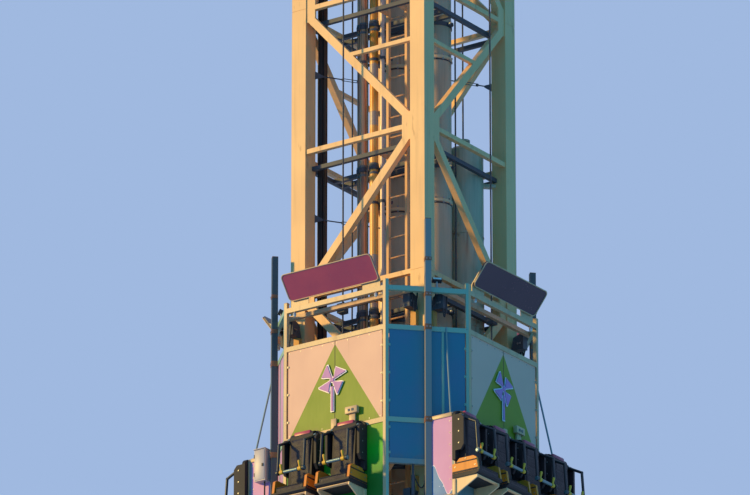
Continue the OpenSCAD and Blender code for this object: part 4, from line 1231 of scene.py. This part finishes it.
squab = stuffed("squab", (-0.238, -0.424, -0.936), (0.238, -0.014, -0.862), rest_axis=2,
                rest_at=-0.936, cap=0.012)
sewn(squab, (-0.15, -0.29), axis=1, front_axis=2, front_sign=1)
cushions = copied(squab, "seat_squabs")
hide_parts("seat_cushions")
back_pad = stuffed("back_pad", (-0.172, -0.16, -0.8), (0.172, -0.128, -0.1), rest_axis=1,
                   rest_at=-0.128, cap=0.01)
sewn(back_pad, (-0.24, -0.38, -0.52, -0.66), axis=2, front_axis=1, front_sign=-1)
copied(back_pad, "back_pads")

piping = Stock()
squab_rim = [Vector((x, y, -0.868)) for x, y in (
    (-0.236, -0.42), (-0.236, -0.02), (0.236, -0.02), (0.236, -0.42))]
seam = [start.lerp(end, t) for start, end in zip(squab_rim, squab_rim[1:] + squab_rim[:1])
        for t in (0.06, 0.35, 0.65, 0.94)]
for seat in seats.values():
    piping.tube([seat @ p for p in seam], r=0.005, sides=6, closed=True)
piping.piece("squab_piping", "carriage", shell, smooth=60)

# Lap bars
# Two painted arms turn on pins beside the back and carry a tube across the lap. The tube has a
# bright sleeve and two yellow plastic grips, and bright caps close the pivots and the knobs.
bar_paint = weathered("lap_bar_paint", tone(48, 54, 58), tone(80, 74, 68), tone(150, 146, 140),
                      roughness=0.35, metallic=0.3, streaks=0.3, spots=0.6)
sleeve = weathered("lap_bar_sleeve", tone(118, 140, 140), tone(92, 96, 92), tone(84, 74, 66),
                   roughness=0.3, metallic=0.45, streaks=0.3)
grip_yellow = weathered("grip_yellow", tone(240, 180, 44), tone(150, 112, 50), tone(92, 72, 44),
                        streaks=0.3, spots=0.4)
arm_x = 0.22
lap_out, lap_drop = 0.385, 0.64
pivot_out, pivot_drop = 0.10, 0.09
grip_x, grip_lean = 0.155, 12
for body, seat in seats.items():
    dress(bar_paint, body)
    lap = seat @ shift(0, -lap_out, -lap_drop) @ turn("Y", 90)
    pivot = seat @ shift(0, -pivot_out, -pivot_drop) @ turn("Y", 90)
    bright = Stock()
    grips = Stock()
    bright.spin([(0.021, -0.115), (0.024, -0.112), (0.024, 0.112), (0.021, 0.115)], lap)
    for s in both:
        bright.spin([(0.032, s * (arm_x + 0.0145)), (0.032, s * (arm_x + 0.019)),
                     (0.02, s * (arm_x + 0.023))], lap)
        bright.spin([(0.03, s * (arm_x - 0.0215)), (0.0365, s * (arm_x - 0.012)),
                     (0.0365, s * (arm_x + 0.012)), (0.03, s * (arm_x + 0.0215))], pivot)
        grip = seat @ shift(s * grip_x, -lap_out, -lap_drop) @ turn("X", grip_lean)
        grips.spin([(0.0205, -0.028), (0.029, -0.026), (0.029, 0.026), (0.0205, 0.028)],
                   grip @ turn("Y", 90), sides=20)
        grips.spin([(0.016, 0.02), (0.014, 0.05), (0.018, 0.075), (0.02, 0.1), (0.016, 0.116),
                    (0, 0.122)], grip, sides=16)
    bright.piece(f"{body}_bright", body, sleeve, smooth=35)
    grips.piece(f"{body}_grips", body, grip_yellow, smooth=50)

low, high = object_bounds()
